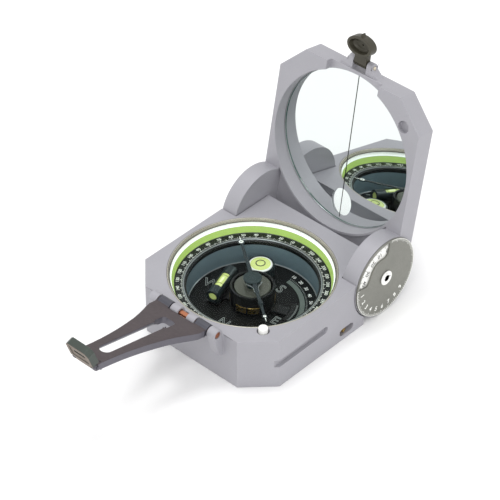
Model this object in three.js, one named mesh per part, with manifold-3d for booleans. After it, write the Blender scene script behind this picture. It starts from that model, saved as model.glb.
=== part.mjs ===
// Sighting compass (pocket transit): a compass box with a mirror lid, a slotted sighting arm, a peep
// sight, a clinometer with two levels, a needle with its lift, and a declination screw.
// Millimetres. Origin at the centre of the flat bottom, under the dial; +X right, +Y to the lid, +Z up.

import * as THREE from "three";
import { mergeVertices } from "three/addons/utils/BufferGeometryUtils.js";
import Module from "manifold-3d";

const wasm = await Module();
wasm.setup();

// ---------- driving dimensions ----------

const FINE = 48; // sides of a large round
const MID = 24; // sides of a medium round
const COARSE = 12; // sides of a small round
const PAST = 1; // how far a cutter runs past a face
const GAP = 0.3; // running gap between pieces that move on each other
const SEAT = 0.05; // gap between pieces that are seated on each other

const HALF_WIDTH = 35.5;
const FRONT_Y = -34.7;
const REAR_Y = 39.5;
const BOX_HEIGHT = 22.9;
const FRONT_CHAMFER = 11.4;
const SIDE_END_Y = 25.7; // where each side turns in to the rear shoulder
const SHOULDER_X = 27.9; // half width of the rear block between the lid's ears

const HINGE_Y = 37.12; // lid hinge axis
const HINGE_Z = 17.4;
const LID_OPEN = degrees(101);
const EAR_RADIUS = 17.3;
const EAR_INNER_X = 28.2;

const FLOOR_TOP = 3.4; // inside of the box bottom
const CAVITY_RADIUS = 27.8; // room for the drum and its teeth
const CIRCLE_POCKET_RADIUS = 31.0;
const CIRCLE_POCKET_Z = 14.9;
const LUMINOUS_POCKET_RADIUS = 31.8;
const LUMINOUS_POCKET_Z = 17.3;
const BEZEL_RADIUS = 33.3;
const BEZEL_SEAT_Z = 19.85;

const GROOVE_Z = 11.5; // side groove for a clamp
const GROOVE_WIDTH = 3.2;
const GROOVE_DEPTH = 1.6;
const GROOVE_END_Y = 4.2;

const PIN_X = 26.8; // needle lift pin
const PIN_Y = -23.1;
const PIN_HEAD_RADIUS = 1.9;
const PIN_PROUD = 2.0;
const PIN_SHOULDER_Z = 15;
const LIFT_ANGLE = Math.atan2(PIN_Y, PIN_X);
const LIFT_RADIUS = Math.hypot(PIN_X, PIN_Y);
const LEVER_Z = 4.1; // mid height of the lift lever
const LEVER_THICKNESS = 0.7;
const FULCRUM_RADIUS = 15;

const CLINO_ANGLE = degrees(18); // direction of the clinometer's index
const CLINO_SWING = degrees(75); // each way
const SHAFT_RADIUS = 5.2;
const SHAFT_BORE = 4.2;
const OUTER_LEVER_LENGTH = 23;
const COVER_RADIUS = 12;
const COVER_THICKNESS = 0.6;

const SCREW_ANGLE = degrees(23.5); // declination screw
const SCREW_Z = 3.9;
const PINION_TEETH = 6;
const CROWN_TEETH = 144;
const CROWN_RADIUS = 26.8;

const NEEDLE_ANGLE = degrees(144.3);
const NEEDLE_Z = 19.15;
const NEEDLE_HALF = 26.3;

const SIGHT_Y = -37.6; // sighting arm hinge axis
const SIGHT_Z = 24.0;
const KNUCKLE_RADIUS = 2.35;
const SIGHT_PIN_RADIUS = 1.3;
const SIGHT_TILT = degrees(12.5); // the arm above level
const ARM_TOP = 1.1; // arm faces, above and below its hinge axis
const ARM_BOTTOM = -1.9;
const ARM_LENGTH = 50.4;
const TIP_FOLD = degrees(58);
const TIP_AXIS_S = 52.4;
const TIP_AXIS_N = -0.4;

const LID_FRONT = 5.7; // lid faces, from the hinge axis
const LID_BACK = 14.5;
const LID_END = 72.1;
const LID_CHAMFER = 11.6;
const LID_RECESS = 7.4; // face of the web between the ears
const RING_CENTRE = 37.12; // the mirror's centre, from the hinge axis
const RING_OUTER = 34.6;
const MIRROR_OPENING = 33.5;
const MIRROR_FRONT = 11.2;
const MIRROR_BACK = 12.9;
const PEEP_AXIS_U = 75.2;
const PEEP_AXIS_W = 11.0;
const PEEP_BARREL = 1.9;

// ---------- colours ----------

const CASE_GREY = 0xb8b6be;
const ARM_BROWN = 0x5c5252;
const COPPER = 0xbe6e46;
const BRASS = 0xb39a62;
const WHITE = 0xf2f2ee;
const LIME = 0xb4e05a;
const BLACK = 0x15181a;
const TEAL = 0x41505a;
const OLIVE = 0x83837c;
const DARK_OLIVE = 0x3b3a30;
const STEEL = 0xa9adb0;
const GLASS = 0xdfe9e6;
const RUBBER = 0x18181a;

// ---------- solids ----------

function degrees(angle) {
  return (angle * Math.PI) / 180;
}

// A closed three.js geometry as a manifold solid.
function solid(geometry) {
  const bare = geometry.clone();
  bare.deleteAttribute("normal");
  bare.deleteAttribute("uv");
  const merged = mergeVertices(bare, 1e-4);
  const corners = merged.index.array;
  const kept = [];
  for (let i = 0; i < corners.length; i += 3) {
    const [a, b, c] = [corners[i], corners[i + 1], corners[i + 2]];
    if (a !== b && b !== c && c !== a) kept.push(a, b, c);
  }
  return new wasm.Manifold(
    new wasm.Mesh({
      numProp: 3,
      vertProperties: new Float32Array(merged.attributes.position.array),
      triVerts: new Uint32Array(kept),
    }),
  );
}

function geometryOf(body) {
  const mesh = body.getMesh();
  const geometry = new THREE.BufferGeometry();
  geometry.setAttribute("position", new THREE.BufferAttribute(mesh.vertProperties, 3));
  geometry.setIndex(new THREE.BufferAttribute(mesh.triVerts, 1));
  geometry.computeVertexNormals();
  return geometry;
}

function piece(name, body, colour, roughness, metalness) {
  const material = new THREE.MeshStandardMaterial({ color: colour, roughness, metalness });
  const mesh = new THREE.Mesh(geometryOf(body), material);
  mesh.name = name;
  return mesh;
}

function joined(...bodies) {
  return bodies.reduce((whole, body) => whole.add(body));
}

function cut(body, ...cutters) {
  return cutters.reduce((rest, cutter) => rest.subtract(cutter), body);
}

// A cylinder along Z.
function rod(radius, z0, z1, x = 0, y = 0, sides = COARSE) {
  const geometry = new THREE.CylinderGeometry(radius, radius, z1 - z0, sides);
  geometry.rotateX(Math.PI / 2);
  geometry.translate(x, y, (z0 + z1) / 2);
  return solid(geometry);
}

// A cylinder along X.
function rodX(radius, x0, x1, y = 0, z = 0, sides = COARSE) {
  const geometry = new THREE.CylinderGeometry(radius, radius, x1 - x0, sides);
  geometry.rotateZ(-Math.PI / 2);
  geometry.translate((x0 + x1) / 2, y, z);
  return solid(geometry);
}

function block(x0, x1, y0, y1, z0, z1) {
  const geometry = new THREE.BoxGeometry(x1 - x0, y1 - y0, z1 - z0);
  geometry.translate((x0 + x1) / 2, (y0 + y1) / 2, (z0 + z1) / 2);
  return solid(geometry);
}

// A (radius, z) profile turned round Z. It starts and ends on the axis, or else it is closed; its
// points run up the outside and down the inside.
function turned(profile, sides = FINE) {
  const whole = profile[0][0] === 0 ? profile : [...profile, profile[0]];
  const points = whole.map(([r, z]) => new THREE.Vector2(r, z));
  const geometry = new THREE.LatheGeometry(points, sides);
  geometry.rotateX(Math.PI / 2);
  return solid(geometry);
}

function ring(outer, inner, z0, z1, sides = FINE) {
  return turned([[outer, z0], [outer, z1], [inner, z1], [inner, z0]], sides);
}

function outline(points) {
  return new THREE.Shape(points.map(([x, y]) => new THREE.Vector2(x, y)));
}

// An XY outline as a plate from z0 to z1.
function plate(shape, z0, z1, curveSegments = COARSE) {
  const geometry = new THREE.ExtrudeGeometry(shape, {
    depth: z1 - z0,
    bevelEnabled: false,
    curveSegments,
  });
  geometry.translate(0, 0, z0);
  return solid(geometry);
}

// A YZ outline as a plate from x0 to x1.
function plateX(shape, x0, x1, curveSegments = COARSE) {
  const geometry = new THREE.ExtrudeGeometry(shape, {
    depth: x1 - x0,
    bevelEnabled: false,
    curveSegments,
  });
  geometry.rotateX(Math.PI / 2);
  geometry.rotateZ(Math.PI / 2);
  geometry.translate(x0, 0, 0);
  return solid(geometry);
}

// A ring sector in XY, from angle a0 to a1.
function sector(outer, inner, a0, a1) {
  const shape = new THREE.Shape();
  shape.absarc(0, 0, outer, a0, a1, false);
  shape.absarc(0, 0, inner, a1, a0, true);
  shape.closePath();
  return shape;
}

// A slot outline with round ends, along X.
function obround(length, width) {
  const half = (length - width) / 2;
  const shape = new THREE.Shape();
  shape.absarc(half, 0, width / 2, -Math.PI / 2, Math.PI / 2, false);
  shape.absarc(-half, 0, width / 2, Math.PI / 2, (3 * Math.PI) / 2, false);
  shape.closePath();
  return shape;
}

function turnedAboutZ(body, angle) {
  return body.rotate([0, 0, THREE.MathUtils.radToDeg(angle)]);
}

function bothSides(make) {
  return joined(make(1), make(-1));
}

// A block whose x range is mirrored for side -1.
function sideBlock(side, x0, x1, y0, y1, z0, z1) {
  return side > 0 ? block(x0, x1, y0, y1, z0, z1) : block(-x1, -x0, y0, y1, z0, z1);
}

function sideRod(side, radius, x0, x1, y, z, sides = COARSE) {
  return side > 0 ? rodX(radius, x0, x1, y, z, sides) : rodX(radius, -x1, -x0, y, z, sides);
}

// ---------- compass box ----------

const INNER_LUG = [2.2, 6.2]; // x ranges of the front hinge, from the middle out
const KNUCKLE = [6.5, 13.0];
const END_LUG = [13.3, 17.2];
const LUG_FOOT_Z = 15.7;
const RIB_FOOT_Z = 13.0;
const RIB_FRONT_Y = -37.4;

const HINGE_SCREW_RADIUS = 1.9;
const HINGE_SCREW_END_X = 21.2;

function boxOutline() {
  const shoulderY = SIDE_END_Y + HALF_WIDTH - SHOULDER_X;
  const right = [
    [HALF_WIDTH - FRONT_CHAMFER, FRONT_Y],
    [HALF_WIDTH, FRONT_Y + FRONT_CHAMFER],
    [HALF_WIDTH, SIDE_END_Y],
    [SHOULDER_X, shoulderY],
    [SHOULDER_X, REAR_Y],
  ];
  const left = right.map(([x, y]) => [-x, y]).reverse();
  return outline([...right, ...left]);
}

// One front lug: a round barrel with a web down to the box front.
function frontLug(side, [x0, x1], foot) {
  const web = outline([
    [FRONT_Y + PAST, BOX_HEIGHT],
    [SIGHT_Y, BOX_HEIGHT],
    ...foot,
    [FRONT_Y + PAST, foot[foot.length - 1][1]],
  ]);
  const webBody = side > 0 ? plateX(web, x0, x1) : plateX(web, -x1, -x0);
  return joined(sideRod(side, KNUCKLE_RADIUS, x0, x1, SIGHT_Y, SIGHT_Z), webBody);
}

function frontLugs(side) {
  const cheekY = SIGHT_Y - KNUCKLE_RADIUS * 0.8;
  const cheekZ = SIGHT_Z - KNUCKLE_RADIUS * 0.6;
  const innerFoot = [[cheekY, cheekZ], [FRONT_Y, LUG_FOOT_Z]];
  const ribFoot = [[cheekY, cheekZ], [RIB_FRONT_Y, RIB_FOOT_Z + 1], [FRONT_Y, RIB_FOOT_Z]];
  return joined(frontLug(side, INNER_LUG, innerFoot), frontLug(side, END_LUG, ribFoot));
}

function dialWell() {
  return joined(
    rod(CAVITY_RADIUS, FLOOR_TOP, BOX_HEIGHT + PAST, 0, 0, FINE),
    rod(CIRCLE_POCKET_RADIUS, CIRCLE_POCKET_Z, BOX_HEIGHT + PAST, 0, 0, FINE),
    rod(LUMINOUS_POCKET_RADIUS, LUMINOUS_POCKET_Z, BOX_HEIGHT + PAST, 0, 0, FINE),
    rod(BEZEL_RADIUS + SEAT, BEZEL_SEAT_Z, BOX_HEIGHT + PAST, 0, 0, FINE),
  );
}

const LIFT_TUNNEL_FLOOR = 2.3;
const LIFT_TUNNEL_ROOF = 6.4;
const LIFT_TUNNEL_START = 19; // from the middle of the dial
const LIFT_TUNNEL_HALF = 2.4;
const STEM_HOLE_RADIUS = 1.2;
const SLIDE_PLAY = 0.15; // round a piece that slides or turns in its hole

function liftPassages() {
  const tunnel = block(
    LIFT_TUNNEL_START,
    LIFT_RADIUS + 2 * PAST,
    -LIFT_TUNNEL_HALF,
    LIFT_TUNNEL_HALF,
    LIFT_TUNNEL_FLOOR,
    LIFT_TUNNEL_ROOF,
  );
  return joined(
    turnedAboutZ(tunnel, LIFT_ANGLE),
    rod(STEM_HOLE_RADIUS, LEVER_Z, BOX_HEIGHT, PIN_X, PIN_Y),
    rod(PIN_HEAD_RADIUS + SLIDE_PLAY, PIN_SHOULDER_Z, BOX_HEIGHT + PAST, PIN_X, PIN_Y),
  );
}

const LEVER_POCKET_DEPTH = 2.1;
const LEVER_HUB_POCKET_RADIUS = 7.6;
const COVER_PLAY = 0.1;
const COVER_SCREW_CIRCLE = 9.8;
const COVER_SCREW_OFFSETS = [-62, 0, 62]; // degrees from the clinometer's index
const COVER_SCREW_HOLE = { radius: 0.65, top: 2.6 };
const LEVER_POCKET_SWING = CLINO_SWING + degrees(17);

function bottomPockets() {
  const middle = CLINO_ANGLE + Math.PI;
  const swing = sector(
    OUTER_LEVER_LENGTH + 1,
    1,
    middle - LEVER_POCKET_SWING,
    middle + LEVER_POCKET_SWING,
  );
  return joined(
    rod(COVER_RADIUS + COVER_PLAY, -PAST, COVER_THICKNESS + SEAT, 0, 0, MID),
    rod(LEVER_HUB_POCKET_RADIUS, -PAST, LEVER_POCKET_DEPTH, 0, 0, MID),
    rod(SHAFT_RADIUS + GAP, -PAST, FLOOR_TOP + PAST, 0, 0, MID),
    plate(swing, -PAST, LEVER_POCKET_DEPTH),
    ...coverScrewPlaces().map(([x, y]) => {
      return rod(COVER_SCREW_HOLE.radius, -PAST, COVER_SCREW_HOLE.top, x, y);
    }),
  );
}

function coverScrewPlaces() {
  return COVER_SCREW_OFFSETS.map((offset) => {
    const angle = CLINO_ANGLE + degrees(offset);
    return [COVER_SCREW_CIRCLE * Math.cos(angle), COVER_SCREW_CIRCLE * Math.sin(angle)];
  });
}

const SCREW_HEAD_RADIUS = 1.4;
const SCREW_SLOT = [8, 3.3]; // length and width of the slot in the side
const SCREW_SLOT_DEPTH = 3.2;
const PINION_TIP = 1.5;
const PINION_ROOT = 0.72;
const SCREW_BORE = { radius: 0.9, x0: 20, x1: 40 };
const SCREW_HEAD_BORE_X = [34.3, 42];
const PINION_BORE_X = [24, 28.9];

function declinationPassages() {
  const bore = turnedAboutZ(
    joined(
      rodX(SCREW_BORE.radius, SCREW_BORE.x0, SCREW_BORE.x1, 0, SCREW_Z),
      rodX(SCREW_HEAD_RADIUS + SLIDE_PLAY, ...SCREW_HEAD_BORE_X, 0, SCREW_Z),
      rodX(PINION_TIP + GAP, ...PINION_BORE_X, 0, SCREW_Z),
    ),
    SCREW_ANGLE,
  );
  const slotY = HALF_WIDTH * Math.tan(SCREW_ANGLE);
  const slot = plateX(obround(...SCREW_SLOT), 0, SCREW_SLOT_DEPTH + PAST);
  return joined(bore, slot.translate([HALF_WIDTH - SCREW_SLOT_DEPTH, slotY, SCREW_Z]));
}

function sideGroove(side) {
  const [inner, outer] = [HALF_WIDTH - GROOVE_DEPTH, HALF_WIDTH + PAST];
  const half = GROOVE_WIDTH / 2;
  const end = GROOVE_END_Y - half;
  return joined(
    sideBlock(side, inner, outer, FRONT_Y, end, GROOVE_Z - half, GROOVE_Z + half),
    sideRod(side, half, inner, outer, end, GROOVE_Z),
  );
}

function earRelief(side) {
  return sideRod(side, EAR_RADIUS + GAP, SHOULDER_X, HALF_WIDTH + PAST, HINGE_Y, HINGE_Z, FINE);
}

function hingeBore(side) {
  const radius = HINGE_SCREW_RADIUS + SEAT;
  return sideRod(side, radius, HINGE_SCREW_END_X - 1, HALF_WIDTH, HINGE_Y, HINGE_Z);
}

const PIN_PLAY = 0.1; // round the lift lever's pivot pin
const DIAL_PLATE_Z = 5.5;
const POST_ANGLES = [150, 262, 65]; // degrees, of the posts under the dial plate
const POST_CIRCLE = 20;
const POST_RADIUS = 1.8;

function dialPosts() {
  return POST_ANGLES.map((angle) => {
    const [x, y] = [POST_CIRCLE * Math.cos(degrees(angle)), POST_CIRCLE * Math.sin(degrees(angle))];
    return rod(POST_RADIUS, FLOOR_TOP - PAST, DIAL_PLATE_Z - SEAT, x, y);
  });
}

const CHEEK = { offset: 2.4, halfLength: 1.2, halfWidth: 0.5, top: 5.3 };

// Two cheeks that hold the lift lever's pivot pin.
function leverCheeks() {
  const cheek = (side) => {
    const y = side * CHEEK.offset;
    const [x0, x1] = [FULCRUM_RADIUS - CHEEK.halfLength, FULCRUM_RADIUS + CHEEK.halfLength];
    return block(x0, x1, y - CHEEK.halfWidth, y + CHEEK.halfWidth, FLOOR_TOP - PAST, CHEEK.top);
  };
  return turnedAboutZ(bothSides(cheek), LIFT_ANGLE);
}

function baseCase() {
  const bored = cut(
    joined(plate(boxOutline(), 0, BOX_HEIGHT), bothSides(frontLugs)),
    dialWell(),
    liftPassages(),
    bottomPockets(),
    declinationPassages(),
    bothSides(sideGroove),
    bothSides(earRelief),
    bothSides(hingeBore),
    rodX(SIGHT_PIN_RADIUS + SLIDE_PLAY, -END_LUG[1] - PAST, END_LUG[1] + PAST, SIGHT_Y, SIGHT_Z),
  );
  const fitted = joined(bored, ...dialPosts(), leverCheeks());
  return cut(fitted, turnedAboutZ(leverPinBody(PIN_PLAY), LIFT_ANGLE));
}

function bottomCover() {
  const disc = rod(COVER_RADIUS, 0, COVER_THICKNESS, 0, 0, MID);
  const { hole } = COVER_SCREW;
  return cut(disc, ...coverScrewPlaces().map(([x, y]) => rod(hole, -PAST, PAST, x, y)));
}

const COVER_SCREW = { head: 0.8, hole: 0.9, shank: 0.55, z0: 0.02, headTop: 0.5, end: 2.4 };
const COVER_SCREW_SLOT = { half: 0.12, depth: 0.25 };

function coverScrew([x, y]) {
  const head = rod(COVER_SCREW.head, COVER_SCREW.z0, COVER_SCREW.headTop, x, y);
  const shank = rod(COVER_SCREW.shank, COVER_SCREW.z0, COVER_SCREW.end, x, y);
  const { half, depth } = COVER_SCREW_SLOT;
  return cut(joined(head, shank), block(x - PAST, x + PAST, y - half, y + half, -PAST, depth));
}

function coverScrews() {
  return coverScrewPlaces().map((place, i) => {
    return piece("cover_screw_" + (i + 1), coverScrew(place), STEEL, 0.35, 0.9);
  });
}

// ---------- dial ----------

const BEZEL_INNER = 32.45;
const BEZEL_LIP_Z = 21.4; // where the bezel's slope meets its bore

function bezelRing() {
  return turned([
    [BEZEL_RADIUS, BEZEL_SEAT_Z + SEAT],
    [BEZEL_RADIUS, BOX_HEIGHT - 0.15],
    [BEZEL_RADIUS - 0.2, BOX_HEIGHT - SEAT],
    [BEZEL_INNER, BEZEL_LIP_Z],
    [BEZEL_INNER, BEZEL_SEAT_Z + SEAT],
  ]);
}

const CRYSTAL_BOTTOM = 20.7;
const CRYSTAL_TOP = 21.5;
const CRYSTAL_RADIUS = 32.3;
const CRYSTAL_EDGE = 0.2;

function crystal() {
  return turned([
    [0, CRYSTAL_BOTTOM],
    [CRYSTAL_RADIUS, CRYSTAL_BOTTOM],
    [CRYSTAL_RADIUS, CRYSTAL_TOP - CRYSTAL_EDGE],
    [CRYSTAL_RADIUS - CRYSTAL_EDGE, CRYSTAL_TOP],
    [0, CRYSTAL_TOP],
  ]);
}

const WHITE_RING = { outer: 32.35, inner: 31.55, outerTop: 20.35, innerTop: 19.95 };
const LUMINOUS_RING = { outer: 31.5, foot: 30.6, top: 19.8 };

function whiteRing() {
  const { outer, inner, outerTop, innerTop } = WHITE_RING;
  const bottom = BEZEL_SEAT_Z + SEAT;
  return turned([[outer, bottom], [outer, outerTop], [inner, innerTop], [inner, bottom]]);
}

function luminousRing() {
  const { outer, foot, top } = LUMINOUS_RING;
  const bottom = LUMINOUS_POCKET_Z + SEAT;
  return turned([[outer, bottom], [outer, top], [foot, bottom]]);
}

const DRUM_OUTER = 26.9;
const DRUM_INNER = 25.9;
const DRUM_FOOT = 27.55;
const DRUM_BOTTOM = 5.5;
const DRUM_TOP = 16.6;
const DRUM_FLANGE = 28.4; // carries the graduated circle
const FLANGE_THICKNESS = 0.5;
const FOOT_THICKNESS = 0.8;
const TOOTH = { inner: 26.1, outer: 27.4, bottom: 4.75, share: 0.36 }; // share of the pitch

// The wall under the graduated circle, with the crown teeth that the declination screw drives.
function drumGear() {
  const drum = turned([
    [DRUM_FOOT, DRUM_BOTTOM],
    [DRUM_FOOT, DRUM_BOTTOM + FOOT_THICKNESS],
    [DRUM_OUTER, DRUM_BOTTOM + FOOT_THICKNESS],
    [DRUM_OUTER, CIRCLE_POCKET_Z + GAP],
    [DRUM_FLANGE, CIRCLE_POCKET_Z + GAP],
    [DRUM_FLANGE, CIRCLE_POCKET_Z + GAP + FLANGE_THICKNESS],
    [DRUM_OUTER, CIRCLE_POCKET_Z + GAP + FLANGE_THICKNESS],
    [DRUM_OUTER, DRUM_TOP],
    [DRUM_INNER, DRUM_TOP],
    [DRUM_INNER, DRUM_BOTTOM],
  ]);
  const pitch = (2 * Math.PI) / CROWN_TEETH;
  const half = (TOOTH.share * pitch * CROWN_RADIUS) / 2;
  const tooth = block(TOOTH.inner, TOOTH.outer, -half, half, TOOTH.bottom, DRUM_BOTTOM + 0.1);
  const teeth = [];
  for (let i = 0; i < CROWN_TEETH; i += 1) {
    teeth.push(turnedAboutZ(tooth, SCREW_ANGLE + (i + 0.5) * pitch));
  }
  return wasm.Manifold.union([drum, ...teeth]);
}

const CIRCLE = { outer: 30.4, inner: 27.2, top: 17.15 };

function graduatedCircle() {
  const bottom = CIRCLE_POCKET_Z + GAP + FLANGE_THICKNESS + SEAT;
  return ring(CIRCLE.outer, CIRCLE.inner, bottom, CIRCLE.top);
}

const SCREW_HEAD_X = [34.4, 37.9];
const SCREW_STEM_X = [27.3, 34.7];
const SCREW_STEM_RADIUS = 0.7;
const PINION_X = [25.9, 27.6];
const PINION_TURNS = [[-0.24, PINION_ROOT], [-0.08, PINION_TIP], [0.08, PINION_TIP], [0.24, PINION_ROOT]];

// The declination screw, along its own axis: head with a driver slot, stem and pinion.
function declinationScrew() {
  const head = cut(
    rodX(SCREW_HEAD_RADIUS, ...SCREW_HEAD_X),
    block(SCREW_HEAD_X[1] - 0.6, SCREW_HEAD_X[1] + PAST, -0.25, 0.25, -2, 2),
  );
  const pinionShape = [];
  const step = (2 * Math.PI) / PINION_TEETH;
  for (let i = 0; i < PINION_TEETH; i += 1) {
    const middle = Math.PI / 2 + i * step;
    for (const [turn, radius] of PINION_TURNS) {
      const angle = middle + turn;
      pinionShape.push([radius * Math.cos(angle), radius * Math.sin(angle)]);
    }
  }
  const pinion = plateX(outline(pinionShape), ...PINION_X);
  return joined(head, rodX(SCREW_STEM_RADIUS, ...SCREW_STEM_X), pinion);
}

const DIAL_PLATE = { outer: 25.6, inner: 6.4, thickness: 0.7 };

function floorDial() {
  return ring(DIAL_PLATE.outer, DIAL_PLATE.inner, DIAL_PLATE_Z, DIAL_PLATE_Z + DIAL_PLATE.thickness);
}

// ---------- needle and lift ----------

const POST = { radius: 0.7, top: 18, footRadius: 3.4, footTop: 1.4 };

function pivotPost() {
  const point = new THREE.ConeGeometry(POST.radius, POST.radius, COARSE);
  point.rotateX(Math.PI / 2);
  point.translate(0, 0, POST.top + POST.radius / 2);
  const shank = rod(POST.radius, COVER_THICKNESS + SEAT, POST.top + 0.01);
  const foot = rod(POST.footRadius, COVER_THICKNESS + SEAT, POST.footTop);
  return joined(shank, foot, solid(point));
}

const BLADE = { half: 0.5, rootHalf: 1.0, northTaper: 2.4, southTaper: 1 };
const BLADE_Z = [NEEDLE_Z - 0.2, NEEDLE_Z + 0.2];
const NORTH_DISC = { radius: 1.15, x: 22.7 };
const SOUTH_BAR = { x0: -24.4, x1: -22.9, half: 0.75 };
const NEEDLE_EYE = { outer: 2.4, hole: 1.8 };

function needleBlade() {
  const { half, rootHalf, northTaper, southTaper } = BLADE;
  const blade = plate(
    outline([
      [-NEEDLE_HALF + southTaper, -half],
      [0, -rootHalf],
      [NEEDLE_HALF - northTaper, -half],
      [NEEDLE_HALF, 0],
      [NEEDLE_HALF - northTaper, half],
      [0, rootHalf],
      [-NEEDLE_HALF + southTaper, half],
      [-NEEDLE_HALF, 0],
    ]),
    ...BLADE_Z,
  );
  const north = rod(NORTH_DISC.radius, ...BLADE_Z, NORTH_DISC.x, 0);
  const south = block(SOUTH_BAR.x0, SOUTH_BAR.x1, -SOUTH_BAR.half, SOUTH_BAR.half, ...BLADE_Z);
  const eye = rod(NEEDLE_EYE.outer, ...BLADE_Z);
  return cut(joined(blade, north, south, eye), rod(NEEDLE_EYE.hole, 0, BOX_HEIGHT));
}

// The hub: a collar under the needle, a knob over it, bored for the jewel and the lift sleeve.
function needleHub() {
  return turned(
    [
      [0, 18.85],
      [1.0, 18.6],
      [1.0, 17.9],
      [1.85, 17.9],
      [1.85, 15.0],
      [2.3, 15.0],
      [2.3, 17.6],
      [3.3, 18.0],
      [3.3, NEEDLE_Z - 0.25],
      [1.6, NEEDLE_Z - 0.25],
      [1.6, NEEDLE_Z + 0.25],
      [3.7, NEEDLE_Z + 0.25],
      [3.7, 19.6],
      [2.6, 19.8],
      [0, 19.8],
    ],
    MID,
  );
}

const MAGNET = { outer: 7.2, inner: 2.35, bottom: 12.9, top: 15.55 };

function magnetDisc() {
  return ring(MAGNET.outer, MAGNET.inner, MAGNET.bottom, MAGNET.top, MID);
}

const COIL = { x0: -16.2, x1: -14.4, halfWidth: 1.05, halfHeight: 0.65 };
const COIL_EYE = { halfWidth: 0.8, halfHeight: 0.25 };

// A wire wound flat round the blade, as one sleeve that clears the crystal when the needle is lifted.
function counterweight() {
  const round = rodX(1, COIL.x0, COIL.x1).scale([1, COIL.halfWidth, COIL.halfHeight]);
  const { halfWidth, halfHeight } = COIL_EYE;
  const eye = block(COIL.x0 - PAST, COIL.x1 + PAST, -halfWidth, halfWidth, -halfHeight, halfHeight);
  return cut(round, eye).translate([0, 0, NEEDLE_Z]);
}

function liftPin() {
  const top = BOX_HEIGHT + PIN_PROUD;
  const head = turned(
    [
      [0, PIN_SHOULDER_Z + 2.6],
      [PIN_HEAD_RADIUS, PIN_SHOULDER_Z + 2.6],
      [PIN_HEAD_RADIUS, top - 0.7],
      [PIN_HEAD_RADIUS - 0.7, top],
      [0, top],
    ],
    COARSE,
  );
  const stem = rod(0.9, LEVER_Z + LEVER_THICKNESS / 2 + SEAT, PIN_SHOULDER_Z + 3, 0, 0);
  return joined(head, stem).translate([PIN_X, PIN_Y, 0]);
}

// A compression spring round the pin's stem, between its head and the shoulder of its hole.
function liftSpring() {
  const turns = 3;
  const stepsPerTurn = 12;
  const [bottom, top, radius, wire] = [PIN_SHOULDER_Z + 0.25, PIN_SHOULDER_Z + 2.3, 1.4, 0.18];
  const points = [];
  for (let i = 0; i <= turns * stepsPerTurn; i += 1) {
    const angle = (2 * Math.PI * i) / stepsPerTurn;
    const height = bottom + ((top - bottom) * i) / (turns * stepsPerTurn);
    points.push(new THREE.Vector3(radius * Math.cos(angle), radius * Math.sin(angle), height));
  }
  const section = new THREE.Shape();
  section.absarc(0, 0, wire, 0, 2 * Math.PI, false);
  const geometry = new THREE.ExtrudeGeometry(section, {
    steps: turns * stepsPerTurn,
    curveSegments: 3,
    bevelEnabled: false,
    extrudePath: new THREE.CatmullRomCurve3(points),
  });
  return solid(geometry).translate([PIN_X, PIN_Y, 0]);
}

function leverPinBody(play) {
  const geometry = new THREE.CylinderGeometry(0.35 + play, 0.35 + play, 5.6 + play, COARSE);
  geometry.translate(FULCRUM_RADIUS, 0, LEVER_Z);
  return solid(geometry);
}

// The lift lever: a fork under the sleeve, a barrel on its pivot, and its outer end under the pin.
function liftLever() {
  const [z0, z1] = [LEVER_Z - LEVER_THICKNESS / 2, LEVER_Z + LEVER_THICKNESS / 2];
  const bar = block(2.2, LIFT_RADIUS + 1.2, -1.3, 1.3, z0, z1);
  const barrel = new THREE.CylinderGeometry(0.6, 0.6, 3.2, COARSE);
  barrel.translate(FULCRUM_RADIUS, 0, LEVER_Z);
  const fork = cut(rod(2.7, z0, z1, 0, 0), rod(1.25, 0, 10, 0, 0), block(-3, 0, -3, 3, 0, 10));
  const lever = cut(joined(bar, fork, solid(barrel)), leverPinBody(PIN_PLAY));
  return turnedAboutZ(lever, LIFT_ANGLE);
}

function liftSleeve() {
  const bottom = LEVER_Z + LEVER_THICKNESS / 2 + SEAT;
  return turned(
    [[2.4, bottom], [2.4, bottom + 0.6], [1.55, bottom + 0.8], [1.55, 17.6], [0.95, 17.6], [0.95, bottom]],
    COARSE,
  );
}

// ---------- clinometer (modelled with its index along +X) ----------

const FRAME_Z = 7.0;
const FRAME_TOP = 7.8;
const LONG_LEVEL_X = -13.7;
const LONG_LEVEL_Y = 1.1;
const LONG_LEVEL_Z = 10.7;
const LONG_LEVEL_RADIUS = 2.5;
const LONG_LEVEL_HALF = 7.9;
const ROUND_LEVEL_CIRCLE = 16.8;
const ROUND_LEVEL_ANGLE = degrees(104);
const ROUND_LEVEL = [
  ROUND_LEVEL_CIRCLE * Math.cos(ROUND_LEVEL_ANGLE),
  ROUND_LEVEL_CIRCLE * Math.sin(ROUND_LEVEL_ANGLE),
];
const ROUND_LEVEL_RADIUS = 5.6;

const SHAFT_FOOT_Z = 1.9;
const SHAFT_WINDOW = { inner: 2, bottom: 3.3, top: 5.7, spare: degrees(28) };

// The hollow shaft, with a window for the lift lever to swing past.
function clinometerShaft() {
  const tube = ring(SHAFT_RADIUS, SHAFT_BORE, SHAFT_FOOT_Z, FRAME_TOP - SEAT, MID);
  const { inner, bottom, top, spare } = SHAFT_WINDOW;
  const middle = LIFT_ANGLE - CLINO_ANGLE;
  const half = CLINO_SWING + spare;
  return cut(tube, plate(sector(SHAFT_RADIUS + PAST, inner, middle - half, middle + half), bottom, top));
}

const LEVER_PLATE_Z = [0.95, 1.85];
const LEVER_HUB = { outer: 6.8, bore: 3.7 };
const LEVER_ARM = { start: 4, half: 1.8 };
const THUMB = { radius: 2.8, bottom: 0.35, x: -20 };

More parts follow.
